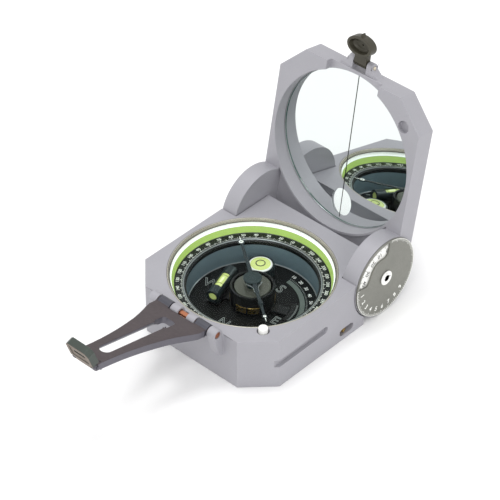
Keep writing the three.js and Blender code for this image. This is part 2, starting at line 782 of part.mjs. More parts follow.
function clinometerLever() {
  const hub = rod(LEVER_HUB.outer, ...LEVER_PLATE_Z, 0, 0, MID);
  const arm = block(THUMB.x, -LEVER_ARM.start, -LEVER_ARM.half, LEVER_ARM.half, ...LEVER_PLATE_Z);
  const thumb = rod(THUMB.radius, THUMB.bottom, LEVER_PLATE_Z[1], THUMB.x, 0);
  return cut(joined(hub, arm, thumb), rod(LEVER_HUB.bore, 0, FLOOR_TOP, 0, 0, MID));
}

const FRAME_HUB_RADIUS = 7.4;
const INDEX_ARM = { length: 15.5, half: 2.2 };
const LEVEL_ARM_HALF = 3;
const CRADLE = { outside: 3.2, inside: 2.6, end: 1 }; // from the long level's axis and ends
const ROUND_ARM = { length: 14, half: 2.4 };

function clinometerFrame() {
  const thick = [FRAME_Z, FRAME_TOP];
  const hub = rod(FRAME_HUB_RADIUS, ...thick, 0, 0, MID);
  const indexArm = block(0, INDEX_ARM.length, -INDEX_ARM.half, INDEX_ARM.half, ...thick);
  const cradleX = [LONG_LEVEL_X - CRADLE.outside, LONG_LEVEL_X + CRADLE.inside];
  const levelArm = block(cradleX[0], 0, -LEVEL_ARM_HALF, LEVEL_ARM_HALF, ...thick);
  const reach = LONG_LEVEL_HALF + CRADLE.end;
  const cradle = block(...cradleX, LONG_LEVEL_Y - reach, LONG_LEVEL_Y + reach, ...thick);
  const roundPad = rod(ROUND_LEVEL_RADIUS, ...thick, ...ROUND_LEVEL, MID);
  const roundBar = block(0, ROUND_ARM.length, -ROUND_ARM.half, ROUND_ARM.half, ...thick);
  const roundArm = turnedAboutZ(roundBar, ROUND_LEVEL_ANGLE);
  const body = joined(hub, indexArm, levelArm, cradle, roundPad, roundArm);
  return cut(body, rod(SHAFT_RADIUS + 0.1, 0, FRAME_TOP + PAST, 0, 0, MID));
}

const VERNIER = { outer: 18.4, inner: 15.7, half: degrees(17), thickness: 0.6 };

function vernierPlate() {
  const { outer, inner, half, thickness } = VERNIER;
  return plate(sector(outer, inner, -half, half), FRAME_Z, FRAME_Z + thickness, COARSE);
}

const DAMPING_CUP = { outer: 8.9, inner: 7.9, bore: 2.7, top: 15.9, wall: 1 };

function dampingCup() {
  const { outer, inner, bore, top, wall } = DAMPING_CUP;
  const bottom = FRAME_TOP + SEAT;
  const floor = bottom + wall;
  return turned([
    [outer, bottom],
    [outer, top],
    [inner, top],
    [inner, floor],
    [bore, floor],
    [bore, bottom],
  ]);
}

function alongY(body) {
  return body.rotate([0, 0, 90]);
}

function longLevelVial() {
  const vial = rodX(LONG_LEVEL_RADIUS, -LONG_LEVEL_HALF + 1, LONG_LEVEL_HALF - 1, 0, 0, COARSE);
  return alongY(vial).translate([LONG_LEVEL_X, LONG_LEVEL_Y, LONG_LEVEL_Z]);
}

const LEVEL_CAP = { radius: 2.75, footHalf: 2.4, overlap: 0.9, end: 1 };

function levelCap(end) {
  const { radius, footHalf } = LEVEL_CAP;
  const [y0, y1] = [LONG_LEVEL_HALF - LEVEL_CAP.overlap, LONG_LEVEL_HALF + LEVEL_CAP.end];
  const cap = joined(
    sideRod(end, radius, y0, y1, 0, 0),
    sideBlock(end, y0, y1, -footHalf, footHalf, FRAME_TOP + SEAT - LONG_LEVEL_Z, 0),
  );
  return alongY(cap).translate([LONG_LEVEL_X, LONG_LEVEL_Y, LONG_LEVEL_Z]);
}

const ROUND_CUP = { inner: 4.9, wallTop: 12.4, rimTop: 12.8, floor: 1 };
const ROUND_VIAL = { radius: 4.75, foot: 1.3, top: 12.6, shoulder: 3.4, shoulderRise: 0.4, rise: 0.55 };

function roundLevelCup() {
  const base = FRAME_TOP + SEAT;
  const { inner, wallTop, rimTop, floor } = ROUND_CUP;
  const cup = turned(
    [
      [0, base],
      [ROUND_LEVEL_RADIUS, base],
      [ROUND_LEVEL_RADIUS, wallTop],
      [inner, rimTop],
      [inner, base + floor],
      [0, base + floor],
    ],
    MID,
  );
  return cup.translate([...ROUND_LEVEL, 0]);
}

function roundLevelGlass() {
  const { radius, foot, top, shoulder, shoulderRise, rise } = ROUND_VIAL;
  const vial = turned(
    [
      [0, FRAME_TOP + foot],
      [radius, FRAME_TOP + foot],
      [radius, top],
      [shoulder, top + shoulderRise],
      [0, top + rise],
    ],
    MID,
  );
  return vial.translate([...ROUND_LEVEL, 0]);
}

// ---------- lid (modelled shut, from the hinge axis: x, y = -u, z = w) ----------

function lidOutline() {
  const right = [
    [HALF_WIDTH, 0],
    [HALF_WIDTH, -LID_END + LID_CHAMFER],
    [HALF_WIDTH - LID_CHAMFER, -LID_END],
  ];
  const left = right.map(([x, y]) => [-x, y]).reverse();
  return outline([...left, ...right].reverse());
}

const WEB_EDGE = -0.6; // the lid's edge between the ears
const RECESS_END_U = 22;
const LID_SPACE = 20; // how far the space between the ears runs

function lidEar(side) {
  return sideRod(side, EAR_RADIUS, EAR_INNER_X, HALF_WIDTH, 0, 0, FINE);
}

const NOTCH = { half: 13, start: 60, floor: 8.4 }; // in the lid's end, round the peep sight
const PIN_HOLE = [27.5, -61]; // room for the lift pin when the lid is shut
const PIN_HOLE_RADIUS = 2.6;
const PIN_HOLE_DEPTH = 8.6;

const LUG_X = [3.3, 6.0];
const LUG_SPREAD = 5.3; // how much wider each lug is where it meets the lid

function peepLug(side) {
  const [x0, x1] = LUG_X;
  const shoulder = outline([
    [x0, -LID_END + PAST],
    [x0, -PEEP_AXIS_U],
    [x1, -PEEP_AXIS_U],
    [x1 + LUG_SPREAD, -LID_END + PAST],
  ]);
  const web = plate(shoulder, PEEP_AXIS_W - PEEP_BARREL + 0.05, PEEP_AXIS_W + PEEP_BARREL - 0.05);
  const lug = joined(web, rodX(PEEP_BARREL, x0, x1, -PEEP_AXIS_U, PEEP_AXIS_W));
  return side > 0 ? lug : lug.mirror([1, 0, 0]);
}

function lidFrame() {
  const slab = plate(lidOutline(), LID_FRONT, LID_BACK);
  const betweenEars = block(-SHOULDER_X - GAP, SHOULDER_X + GAP, WEB_EDGE, PAST, 0, LID_SPACE);
  const recess = cut(
    block(-EAR_INNER_X, EAR_INNER_X, -RECESS_END_U, PAST, 0, LID_RECESS),
    rod(RING_OUTER, -PAST, LID_RECESS + PAST, 0, -RING_CENTRE, FINE),
  );
  const body = cut(
    joined(cut(slab, betweenEars, recess), bothSides(lidEar), bothSides(peepLug)),
    rod(MIRROR_OPENING, 0, MIRROR_BACK + 0.1, 0, -RING_CENTRE, FINE),
    block(-NOTCH.half, NOTCH.half, -LID_END - PAST, -NOTCH.start, 0, NOTCH.floor),
    rod(PIN_HOLE_RADIUS, 0, PIN_HOLE_DEPTH, ...PIN_HOLE),
    plate(windowOutline(), MIRROR_BACK - PAST, LID_BACK + PAST),
    bothSides(earBore),
    rodX(EAR_RECESS_RADIUS, HALF_WIDTH - EAR_RECESS_DEPTH, HALF_WIDTH + PAST, 0, 0, FINE),
    rodX(PEEP_PIN_RADIUS + SEAT, -10, 10, -PEEP_AXIS_U, PEEP_AXIS_W),
  );
  return body;
}

const EAR_RECESS_RADIUS = 16.2;
const EAR_RECESS_DEPTH = 0.55;
const PEEP_PIN_RADIUS = 0.75;

function earBore(side) {
  return sideRod(side, HINGE_SCREW_RADIUS + SLIDE_PLAY, EAR_INNER_X - PAST, HALF_WIDTH + PAST, 0, 0);
}

const WINDOW = { y: -12, halfX: 5, halfY: 6.15 };

// The clear window low in the mirror.
function windowOutline() {
  const shape = new THREE.Shape();
  shape.absellipse(0, WINDOW.y, WINDOW.halfX, WINDOW.halfY, 0, 2 * Math.PI, false, 0);
  return shape;
}

function mirrorGlass() {
  return rod(MIRROR_OPENING - 0.25, MIRROR_FRONT, MIRROR_BACK, 0, -RING_CENTRE, FINE);
}

function mirrorGasket() {
  const [outer, inner] = [MIRROR_OPENING - 0.1, MIRROR_OPENING - 0.9];
  const gasket = ring(outer, inner, MIRROR_FRONT - 0.45, MIRROR_FRONT - SEAT);
  return gasket.translate([0, -RING_CENTRE, 0]);
}

const PLATE_RADIUS = 17.05;
const PLATE_BORE = 2.3;
const PLATE_WINDOW = { outer: 16.3, inner: 10.6, start: degrees(83), stop: degrees(170) };

// The inclinometer plate on the right ear, with the sector window over the scale. In the shut
// lid the window is turned back by the lid's opening.
function inclinometerPlate() {
  const { outer, inner, start, stop } = PLATE_WINDOW;
  const [x0, x1] = [HALF_WIDTH + SEAT, HALF_WIDTH + 0.8];
  const shape = sector(outer, inner, start + LID_OPEN, stop + LID_OPEN);
  const window = plateX(shape, x0 - PAST, x1 + PAST);
  return cut(rodX(PLATE_RADIUS, x0, x1, 0, 0, FINE), window, rodX(PLATE_BORE, x0 - PAST, x1 + PAST));
}

function peepPin() {
  return rodX(PEEP_PIN_RADIUS, -6.2, 6.2, -PEEP_AXIS_U, PEEP_AXIS_W);
}

const PEEP_HALF = 3; // half width of the peep sight's barrel and neck
const PEEP_NECK = { end: 5.2, start: 0.6, back: -1.85, front: 0.7 };
const PEEP_HEAD = { y: -8, halfX: 6, halfY: 3.95, back: -4.3, front: -0.5 };
const PEEP_DISH = { halfX: 4.6, halfY: 2.7, front: -2.9 };
const PEEP_POINT = { root: 1, tip: 0.15, y0: -11.6, y1: -13.2, back: -3, front: -1.6 };
const EYEHOLE_RADIUS = 0.7;

function peepOval(halfX, halfY, back, front) {
  const shape = new THREE.Shape();
  shape.absellipse(0, PEEP_HEAD.y, halfX, halfY, 0, 2 * Math.PI, false, 0);
  return plate(shape, back, front);
}

function peepPoint() {
  const { root, tip, y0, y1, back, front } = PEEP_POINT;
  return plate(outline([[-tip, y1], [tip, y1], [root, y0], [-root, y0]]), back, front);
}

// The peep sight, upright from its pin: barrel, neck and an oval dished head with a point.
function peepSight() {
  const barrel = rodX(PEEP_BARREL - SEAT, -PEEP_HALF, PEEP_HALF);
  const { end, start, back, front } = PEEP_NECK;
  const neck = block(-PEEP_HALF, PEEP_HALF, -end, start, back, front);
  const head = peepOval(PEEP_HEAD.halfX, PEEP_HEAD.halfY, PEEP_HEAD.back, PEEP_HEAD.front);
  const dish = peepOval(PEEP_DISH.halfX, PEEP_DISH.halfY, PEEP_HEAD.back - PAST, PEEP_DISH.front);
  return cut(
    joined(barrel, neck, head, peepPoint()),
    dish,
    rod(EYEHOLE_RADIUS, PEEP_HEAD.back - PAST, PAST, 0, PEEP_HEAD.y),
    rodX(PEEP_PIN_RADIUS + 0.1, -PEEP_HALF - PAST, PEEP_HALF + PAST),
  );
}

// ---------- hinge hardware ----------

const HINGE_HEAD_RADIUS = 3.1;
const RIGHT_HEAD_X = [HALF_WIDTH + 1.0, HALF_WIDTH + 1.5];
const LEFT_HEAD_X = [HALF_WIDTH + 0.1, HALF_WIDTH + 0.8];
const SOCKET = { radius: 1.2, depth: 0.5, sides: 6 };

// A shouldered hinge screw along X: head outside, shank through the ear into the box.
function hingeScrew(side, headInner, headOuter) {
  const shank = sideRod(side, HINGE_SCREW_RADIUS, HINGE_SCREW_END_X, headInner + 0.1, 0, 0);
  const head = sideRod(side, HINGE_HEAD_RADIUS, headInner, headOuter, 0, 0);
  const { radius, depth, sides } = SOCKET;
  const socket = sideRod(side, radius, headOuter - depth, headOuter + PAST, 0, 0, sides);
  return cut(joined(shank, head), socket).translate([0, HINGE_Y, HINGE_Z]);
}

const WASHER = { outer: 5, inner: 2.05, clear: 0.06 };

function waveWasher(side) {
  const [x0, x1] = [SHOULDER_X + WASHER.clear, EAR_INNER_X - WASHER.clear];
  const hole = sideRod(side, WASHER.inner, x0 - PAST, x1 + PAST, 0, 0);
  const washer = cut(sideRod(side, WASHER.outer, x0, x1, 0, 0), hole);
  return washer.translate([0, HINGE_Y, HINGE_Z]);
}

const ANGLE_SCALE = { radius: 15.9, bore: 2.0, x0: HALF_WIDTH - 0.45, x1: HALF_WIDTH - 0.1 };

// The white scale disc under the inclinometer plate; it stays with the box.
function angleScale() {
  const { radius, bore, x0, x1 } = ANGLE_SCALE;
  const disc = cut(rodX(radius, x0, x1, 0, 0, FINE), rodX(bore, x0 - PAST, x1 + PAST));
  return disc.translate([0, HINGE_Y, HINGE_Z]);
}

function sightHingePin() {
  return rodX(SIGHT_PIN_RADIUS, -END_LUG[1] + 0.3, END_LUG[1] - 0.3, SIGHT_Y, SIGHT_Z);
}

// ---------- sighting arm (modelled level, from its hinge axis: y = -s, z = n) ----------

const ARM_ROOT = 13.0;
const ARM_START = 2.75;
const ARM_TIP_HALF = 5.9;

function armOutline() {
  const shape = new THREE.Shape();
  shape.moveTo(-ARM_ROOT, -ARM_START);
  shape.lineTo(-ARM_ROOT, -6.2);
  shape.bezierCurveTo(-9.6, -14, -7.0, -24, -ARM_TIP_HALF, -40);
  shape.lineTo(-ARM_TIP_HALF, -ARM_LENGTH);
  shape.lineTo(ARM_TIP_HALF, -ARM_LENGTH);
  shape.lineTo(ARM_TIP_HALF, -40);
  shape.bezierCurveTo(7.0, -24, 9.6, -14, ARM_ROOT, -6.2);
  shape.lineTo(ARM_ROOT, -ARM_START);
  shape.closePath();
  return shape;
}

const SIGHT_SLOT = { length: 31.5, width: 4.9, y: -29.2 };
const SLOT_ROOM = { half: 3.1, y0: -14.4, y1: -8.4, corner: 1.2 }; // the slot's wide end

function armSlot() {
  const { half, y0, y1, corner } = SLOT_ROOM;
  const narrow = plate(obround(SIGHT_SLOT.length, SIGHT_SLOT.width), ARM_BOTTOM - PAST, ARM_TOP + PAST);
  const right = [
    [half - corner, y0],
    [half, y0 + corner],
    [half, y1 - corner],
    [half - corner, y1],
  ];
  const left = right.map(([x, y]) => [-x, y]).reverse();
  const wide = plate(outline([...right, ...left]), ARM_BOTTOM - PAST, ARM_TOP + PAST);
  return joined(narrow.rotate([0, 0, 90]).translate([0, SIGHT_SLOT.y, 0]), wide);
}

function armKnuckle(side) {
  const [x0, x1] = [KNUCKLE[0] + 0.15, KNUCKLE[1] - 0.15];
  const root = sideBlock(side, x0, x1, -ARM_START - 0.5, 0, ARM_BOTTOM, ARM_TOP);
  return joined(sideRod(side, KNUCKLE_RADIUS - 0.05, x0, x1, 0, 0), root);
}

const TIP_FORK_HALF = 4.2; // the tip sight's barrel between the arm's two end knuckles
const TIP_BARREL = 1.45;

function tipKnuckle(side) {
  const [x0, x1] = [TIP_FORK_HALF + 0.15, ARM_TIP_HALF];
  const [z0, z1] = [TIP_AXIS_N - TIP_BARREL, ARM_TOP - 0.1];
  const root = sideBlock(side, x0, x1, -TIP_AXIS_S, -ARM_LENGTH + 0.5, z0, z1);
  return joined(sideRod(side, TIP_BARREL, x0, x1, -TIP_AXIS_S, TIP_AXIS_N), root);
}

function sightArm() {
  const body = joined(
    plate(armOutline(), ARM_BOTTOM, ARM_TOP),
    bothSides(armKnuckle),
    bothSides(tipKnuckle),
  );
  return cut(
    body,
    armSlot(),
    rodX(SIGHT_PIN_RADIUS + 0.2, -20, 20),
    rodX(TIP_PIN_RADIUS + SEAT, -10, 10, -TIP_AXIS_S, TIP_AXIS_N),
  );
}

const TIP_PIN_RADIUS = 0.6;
const TIP_PLATE = [-1.6, 1.7]; // faces of the tip sight, from its own axis
const TIP_LENGTH = 10;
const TIP_CORNER = 1.6; // clipped off each outer corner
const TIP_SLOT = { half: 2.8, y0: -6.4, y1: -5.2 };
const TURN_PLAY = 0.15; // between the two hinge barrels of the tip sight, side to side

function tipPin() {
  return rodX(TIP_PIN_RADIUS, -ARM_TIP_HALF, ARM_TIP_HALF, -TIP_AXIS_S, TIP_AXIS_N);
}

// The tip sight, level from its own axis: barrel, slotted plate with clipped corners.
function tipSight() {
  const half = ARM_TIP_HALF;
  const start = -TIP_BARREL - 0.35;
  const shape = outline([
    [-half, start],
    [-half, -TIP_LENGTH + TIP_CORNER],
    [-half + TIP_CORNER, -TIP_LENGTH],
    [half - TIP_CORNER, -TIP_LENGTH],
    [half, -TIP_LENGTH + TIP_CORNER],
    [half, start],
  ]);
  const leaf = plate(shape, ...TIP_PLATE);
  const inner = TIP_FORK_HALF - TURN_PLAY;
  const round = TIP_BARREL - SEAT;
  const root = block(-inner, inner, start - 0.5, 0, -round, round);
  const barrel = rodX(round, -inner, inner);
  const { half: slotHalf, y0, y1 } = TIP_SLOT;
  const slot = block(-slotHalf, slotHalf, y0, y1, TIP_PLATE[0] - PAST, TIP_PLATE[1] + PAST);
  return cut(joined(leaf, root, barrel), slot, rodX(TIP_PIN_RADIUS + SLIDE_PLAY, -half, half));
}

// ---------- assembly ----------

function group(...children) {
  const made = new THREE.Group();
  made.add(...children);
  return made;
}

function placed(made, x, y, z) {
  made.position.set(x, y, z);
  return made;
}

function boxPieces() {
  return [
    piece("base_case", baseCase(), CASE_GREY, 0.42, 0.55),
    piece("bottom_cover", bottomCover(), CASE_GREY, 0.4, 0.6),
    ...coverScrews(),
    piece("bezel_ring", bezelRing(), BRASS, 0.3, 0.9),
    piece("crystal", crystal(), GLASS, 0.05, 0),
    piece("white_ring", whiteRing(), WHITE, 0.6, 0),
    piece("luminous_ring", luminousRing(), LIME, 0.6, 0),
    piece("floor_dial", floorDial(), BLACK, 0.6, 0.1),
    piece("pivot_post", pivotPost(), STEEL, 0.3, 0.9),
    piece("lever_pin", turnedAboutZ(leverPinBody(0), LIFT_ANGLE), STEEL, 0.3, 0.9),
    piece("lift_spring", liftSpring(), STEEL, 0.35, 0.9),
    piece("sight_hinge_pin", sightHingePin(), COPPER, 0.28, 0.95),
    piece("hinge_screw_right", hingeScrew(1, ...RIGHT_HEAD_X), WHITE, 0.4, 0.3),
    piece("hinge_screw_left", hingeScrew(-1, ...LEFT_HEAD_X), STEEL, 0.35, 0.8),
    piece("wave_washer_right", waveWasher(1), STEEL, 0.3, 0.9),
    piece("wave_washer_left", waveWasher(-1), STEEL, 0.3, 0.9),
    piece("angle_scale", angleScale(), WHITE, 0.55, 0),
  ];
}

function dialPieces() {
  const screw = group(piece("declination_screw", declinationScrew(), BRASS, 0.35, 0.85));
  screw.rotation.z = SCREW_ANGLE;
  return [
    piece("graduated_circle", graduatedCircle(), BLACK, 0.5, 0.1),
    piece("drum_gear", drumGear(), TEAL, 0.5, 0.3),
    placed(screw, 0, 0, SCREW_Z),
  ];
}

function liftPieces() {
  return [
    piece("lift_pin", liftPin(), WHITE, 0.35, 0),
    piece("lift_lever", liftLever(), STEEL, 0.4, 0.85),
    piece("lift_sleeve", liftSleeve(), BRASS, 0.35, 0.9),
  ];
}

function needleGroup() {
  const needle = group(
    piece("needle_blade", needleBlade(), TEAL, 0.4, 0.5),
    piece("needle_hub", needleHub(), TEAL, 0.35, 0.6),
    piece("magnet_disc", magnetDisc(), STEEL, 0.35, 0.9),
    piece("counterweight", counterweight(), COPPER, 0.35, 0.9),
  );
  needle.rotation.z = NEEDLE_ANGLE;
  return needle;
}

function clinometerGroup() {
  const clinometer = group(
    piece("clinometer_shaft", clinometerShaft(), STEEL, 0.35, 0.85),
    piece("clinometer_lever", clinometerLever(), CASE_GREY, 0.4, 0.7),
    piece("clinometer_frame", clinometerFrame(), BLACK, 0.5, 0.4),
    piece("vernier_plate", vernierPlate(), TEAL, 0.45, 0.5),
    piece("damping_cup", dampingCup(), BRASS, 0.4, 0.8),
    piece("long_level_vial", longLevelVial(), LIME, 0.1, 0),
    piece("level_cap_a", levelCap(1), TEAL, 0.4, 0.6),
    piece("level_cap_b", levelCap(-1), TEAL, 0.4, 0.6),
    piece("round_level_cup", roundLevelCup(), BLACK, 0.4, 0.5),
    piece("round_level_glass", roundLevelGlass(), LIME, 0.08, 0),
  );
  clinometer.rotation.z = CLINO_ANGLE;
  return clinometer;
}

function lidGroup() {
  const peepPiece = piece("peep_sight", peepSight(), DARK_OLIVE, 0.4, 0.5);
  const peep = placed(group(peepPiece), 0, -PEEP_AXIS_U, PEEP_AXIS_W);
  const lid = group(
    piece("lid_frame", lidFrame(), CASE_GREY, 0.42, 0.55),
    piece("mirror_glass", mirrorGlass(), GLASS, 0.02, 1),
    piece("mirror_gasket", mirrorGasket(), RUBBER, 0.7, 0),
    piece("inclinometer_plate", inclinometerPlate(), OLIVE, 0.45, 0.5),
    piece("peep_pin", peepPin(), BRASS, 0.35, 0.9),
    peep,
  );
  lid.rotation.x = -LID_OPEN;
  return placed(lid, 0, HINGE_Y, HINGE_Z);
}

function armGroup() {
  const tipPiece = piece("tip_sight", tipSight(), DARK_OLIVE, 0.4, 0.5);
  const tip = placed(group(tipPiece), 0, -TIP_AXIS_S, TIP_AXIS_N);
  tip.rotation.x = -TIP_FOLD;
  const arm = group(
    piece("sight_arm", sightArm(), ARM_BROWN, 0.45, 0.5),
    piece("tip_pin", tipPin(), BRASS, 0.35, 0.9),
    tip,
  );
  arm.rotation.x = -SIGHT_TILT;
  return placed(arm, 0, SIGHT_Y, SIGHT_Z);
}

export default group(
  ...boxPieces(),
  ...dialPieces(),
  ...liftPieces(),
  needleGroup(),
  clinometerGroup(),
  lidGroup(),
  armGroup(),
);
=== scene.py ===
import math

import bmesh
import bpy
from mathutils import Matrix, Vector


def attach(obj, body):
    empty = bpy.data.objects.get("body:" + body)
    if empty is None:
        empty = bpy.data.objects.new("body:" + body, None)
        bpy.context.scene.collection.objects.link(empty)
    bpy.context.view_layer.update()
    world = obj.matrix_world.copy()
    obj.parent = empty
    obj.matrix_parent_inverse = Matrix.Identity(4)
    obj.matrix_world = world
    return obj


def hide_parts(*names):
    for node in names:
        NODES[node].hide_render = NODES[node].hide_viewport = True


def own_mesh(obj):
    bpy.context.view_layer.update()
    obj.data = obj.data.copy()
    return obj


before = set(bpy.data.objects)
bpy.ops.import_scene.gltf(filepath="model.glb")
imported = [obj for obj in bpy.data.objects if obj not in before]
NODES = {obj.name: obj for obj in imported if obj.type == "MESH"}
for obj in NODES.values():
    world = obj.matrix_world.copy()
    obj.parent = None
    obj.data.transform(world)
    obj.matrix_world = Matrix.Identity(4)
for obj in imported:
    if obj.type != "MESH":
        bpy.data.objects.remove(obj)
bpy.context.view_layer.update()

SCENE = bpy.context.scene
MM = 0.001

# ---------- sizes, in millimetres, in the part's own frame ----------

HALF_WIDTH = 35.5
FRONT_Y = -34.7
REAR_Y = 39.5
BOX_HEIGHT = 22.9
FRONT_CHAMFER = 11.4
SIDE_END_Y = 25.7
SHOULDER_X = 27.9
HINGE_Y = 37.12
HINGE_Z = 17.4
EAR_RADIUS = 17.3
EAR_INNER_X = 28.2
LID_OPEN = 101
SIGHT_Y = -37.6
SIGHT_Z = 24.0
SIGHT_TILT = 12.5
KNUCKLE_RADIUS = 2.35
PIN_X = 26.8
PIN_Y = -23.1
LID_FRONT = 5.7
LID_BACK = 14.5
LID_END = 72.1
LID_CHAMFER = 11.6
RING_CENTRE = 37.12
MIRROR_OPENING = 33.5
RING_OUTER = 34.6
PEEP_AXIS_U = 75.2
PEEP_AXIS_W = 11.0
ARM_TOP = 1.1
ARM_BOTTOM = -1.9
TIP_HALF = 5.9
CLINO_ANGLE = 18
NEEDLE_ANGLE = 144.3
NEEDLE_Z = 19.15
FAR = 40  # where a cutter's open end stops, well outside the part
GROOVE_Z = 11.5
SCREW_Z = 3.9
SCREW_ANGLE = 23.5
SCREW_HEAD = (34.4, 37.9)
CROWN_TEETH = 144
TOOTH_PITCH = 360 / CROWN_TEETH
FRAME_LOW = 7.0
FRAME_TOP = 7.8
LONG_LEVEL = (-13.7, 1.1, 10.7)
ROUND_LEVEL_CIRCLE = 16.8
ROUND_LEVEL_ANGLE = 104
MIRROR_FACE = 11.8
MIRROR_TILT = 2.7  # fitted to the reflection in the photo
TIP_AXIS_Y = -52.4
TIP_AXIS_Z = -0.4
TIP_FOLD = -58
WINDOW_HALF = (5, 6.15)
WINDOW_Y = -12
HINGE_SCREW_HEAD = 3.1
Z_TO_RIGHT = Matrix(((0, 0, 1, 0), (1, 0, 0, 0), (0, 1, 0, 0), (0, 0, 0, 1)))
Z_TO_LEFT = Matrix(((0, 0, -1, 0), (-1, 0, 0, 0), (0, 1, 0, 0), (0, 0, 0, 1)))


def placed(x=0, y=0, z=0, axis="X", angle=0):
    return Matrix.Translation(Vector((x, y, z)) * MM) @ Matrix.Rotation(math.radians(angle), 4, axis)


AT_LID = placed(0, HINGE_Y, HINGE_Z, "X", -LID_OPEN)
AT_PEEP = AT_LID @ placed(0, -PEEP_AXIS_U, PEEP_AXIS_W)
AT_ARM = placed(0, SIGHT_Y, SIGHT_Z, "X", -SIGHT_TILT)
AT_TIP = AT_ARM @ placed(0, TIP_AXIS_Y, TIP_AXIS_Z, "X", TIP_FOLD)
AT_MIRROR = AT_LID @ placed(0, -RING_CENTRE, MIRROR_FACE, "X", MIRROR_TILT)
AT_NEEDLE = placed(axis="Z", angle=NEEDLE_ANGLE)
AT_CLINO = placed(axis="Z", angle=CLINO_ANGLE)
# A disc's own X, Y and Z become +Y, +Z and +X on the outside of the right ear.
AT_EAR = Matrix.Translation(Vector((0, HINGE_Y, HINGE_Z)) * MM) @ Z_TO_RIGHT
AT_LEFT_EAR = Matrix.Translation(Vector((0, HINGE_Y, HINGE_Z)) * MM) @ Z_TO_LEFT

# ---------- shapes ----------


def span(side, first, last):
    """Two distances from the middle as an X range on one side."""
    return sorted((side * first, side * last))


def polar(radius, angle):
    return radius * math.cos(math.radians(angle)), radius * math.sin(math.radians(angle))


def crossed(points):
    """An outline drawn along X, laid along Y."""
    return [(-y, x) for x, y in points]


def new_object(name, verts, faces):
    mesh = bpy.data.meshes.new(name)
    mesh.from_pydata([Vector(v) * MM for v in verts], [], faces)
    obj = bpy.data.objects.new(name, mesh)
    SCENE.collection.objects.link(obj)
    return obj


def face_out(obj):
    work = bmesh.new()
    work.from_mesh(obj.data)
    bmesh.ops.recalc_face_normals(work, faces=work.faces)
    work.to_mesh(obj.data)
    work.free()
    return obj


def prism(outline, z0, z1, name="part"):
    """An XY outline from z0 to z1."""
    return taper(outline, outline, z0, z1, name)


def taper(low, high, z0, z1, name="part"):
    """A solid from the low outline at z0 to the high outline at z1, with as many points in each."""
    count = len(low)
    verts = [(x, y, z0) for x, y in low] + [(x, y, z1) for x, y in high]
    faces = [list(range(count))[::-1], list(range(count, 2 * count))]
    faces += [[i, (i + 1) % count, count + (i + 1) % count, count + i] for i in range(count)]
    return face_out(new_object(name, verts, faces))


def prism_x(outline, x0, x1):
    """A YZ outline from x0 to x1."""
    obj = prism(outline, x0, x1)
    obj.data.transform(Z_TO_RIGHT)
    return obj


def box(x0, x1, y0, y1, z0, z1, name="part"):
    return prism([(x0, y0), (x1, y0), (x1, y1), (x0, y1)], z0, z1, name)


def circle(radius, x=0, y=0, steps=64, start=0, stop=360):
    closed = abs(stop - start) >= 360
    count = steps if closed else steps + 1
    turn = [math.radians(start + (stop - start) * i / steps) for i in range(count)]
    return [(x + radius * math.cos(a), y + radius * math.sin(a)) for a in turn]


def rounded(x0, x1, y0, y1, radius, steps=8):
    """A rectangle outline with round corners."""
    corners = [(x1 - radius, y0 + radius, -90), (x1 - radius, y1 - radius, 0),
               (x0 + radius, y1 - radius, 90), (x0 + radius, y0 + radius, 180)]
    return [p for x, y, start in corners for p in circle(radius, x, y, steps, start, start + 90)]


def oval(half_x, half_y, x=0, y=0, steps=64):
    return [(x + half_x * cx, y + half_y * cy) for cx, cy in circle(1, steps=steps)]


def obround(x0, x1, half, steps=24):
    """A slot outline along X, with round ends."""
    right = circle(half, x1 - half, 0, steps, -90, 90)
    return right + circle(half, x0 + half, 0, steps, 90, 270)


def sector(outer, inner, start, stop, steps=64):
    outside = circle(outer, steps=steps, start=start, stop=stop)
    return outside + circle(inner, steps=steps, start=stop, stop=start)


def rod(radius, z0, z1, x=0, y=0, steps=48):
    return prism(circle(radius, x, y, steps), z0, z1)


def rod_x(radius, x0, x1, y=0, z=0, steps=48):
    return prism_x(circle(radius, y, z, steps), x0, x1)


def turned(profile, steps=160):
    """A (radius, z) profile turned round Z; it closes on itself, or starts and ends on the axis."""
    closed = profile[0][0] > 0
    verts, rings = [], []
    for radius, z in profile:
        if radius == 0:
            rings.append([len(verts)] * steps)
            verts.append((0, 0, z))
            continue
        rings.append(list(range(len(verts), len(verts) + steps)))
        verts += [(x, y, z) for x, y in circle(radius, steps=steps)]
    pairs = list(zip(rings, rings[1:] + rings[:1])) if closed else list(zip(rings, rings[1:]))
    faces = []
    for low, high in pairs:
        for i in range(steps):
            corners = [low[i], low[(i + 1) % steps], high[(i + 1) % steps], high[i]]
            faces.append(list(dict.fromkeys(corners)))
    return face_out(new_object("part", verts, faces))


def moved(obj, matrix):
    obj.data.transform(matrix)
    if matrix.determinant() < 0:
        obj.data.flip_normals()
    return obj


def settled(obj):
    """obj with its modifiers applied."""
    graph = bpy.context.evaluated_depsgraph_get()
    mesh = bpy.data.meshes.new_from_object(obj.evaluated_get(graph))
    obj.modifiers.clear()
    obj.data = mesh
    return obj


def carved(obj, add=(), cut=()):
    """obj with the add pieces joined on and then the cut pieces taken away."""
    for operation, others in (("UNION", add), ("DIFFERENCE", cut)):
        for other in others:
            step = obj.modifiers.new("step", "BOOLEAN")
            step.solver = "EXACT"
            step.operation = operation
            step.object = other
    settled(obj)
    for other in [*add, *cut]:
        bpy.data.objects.remove(other)
    return obj


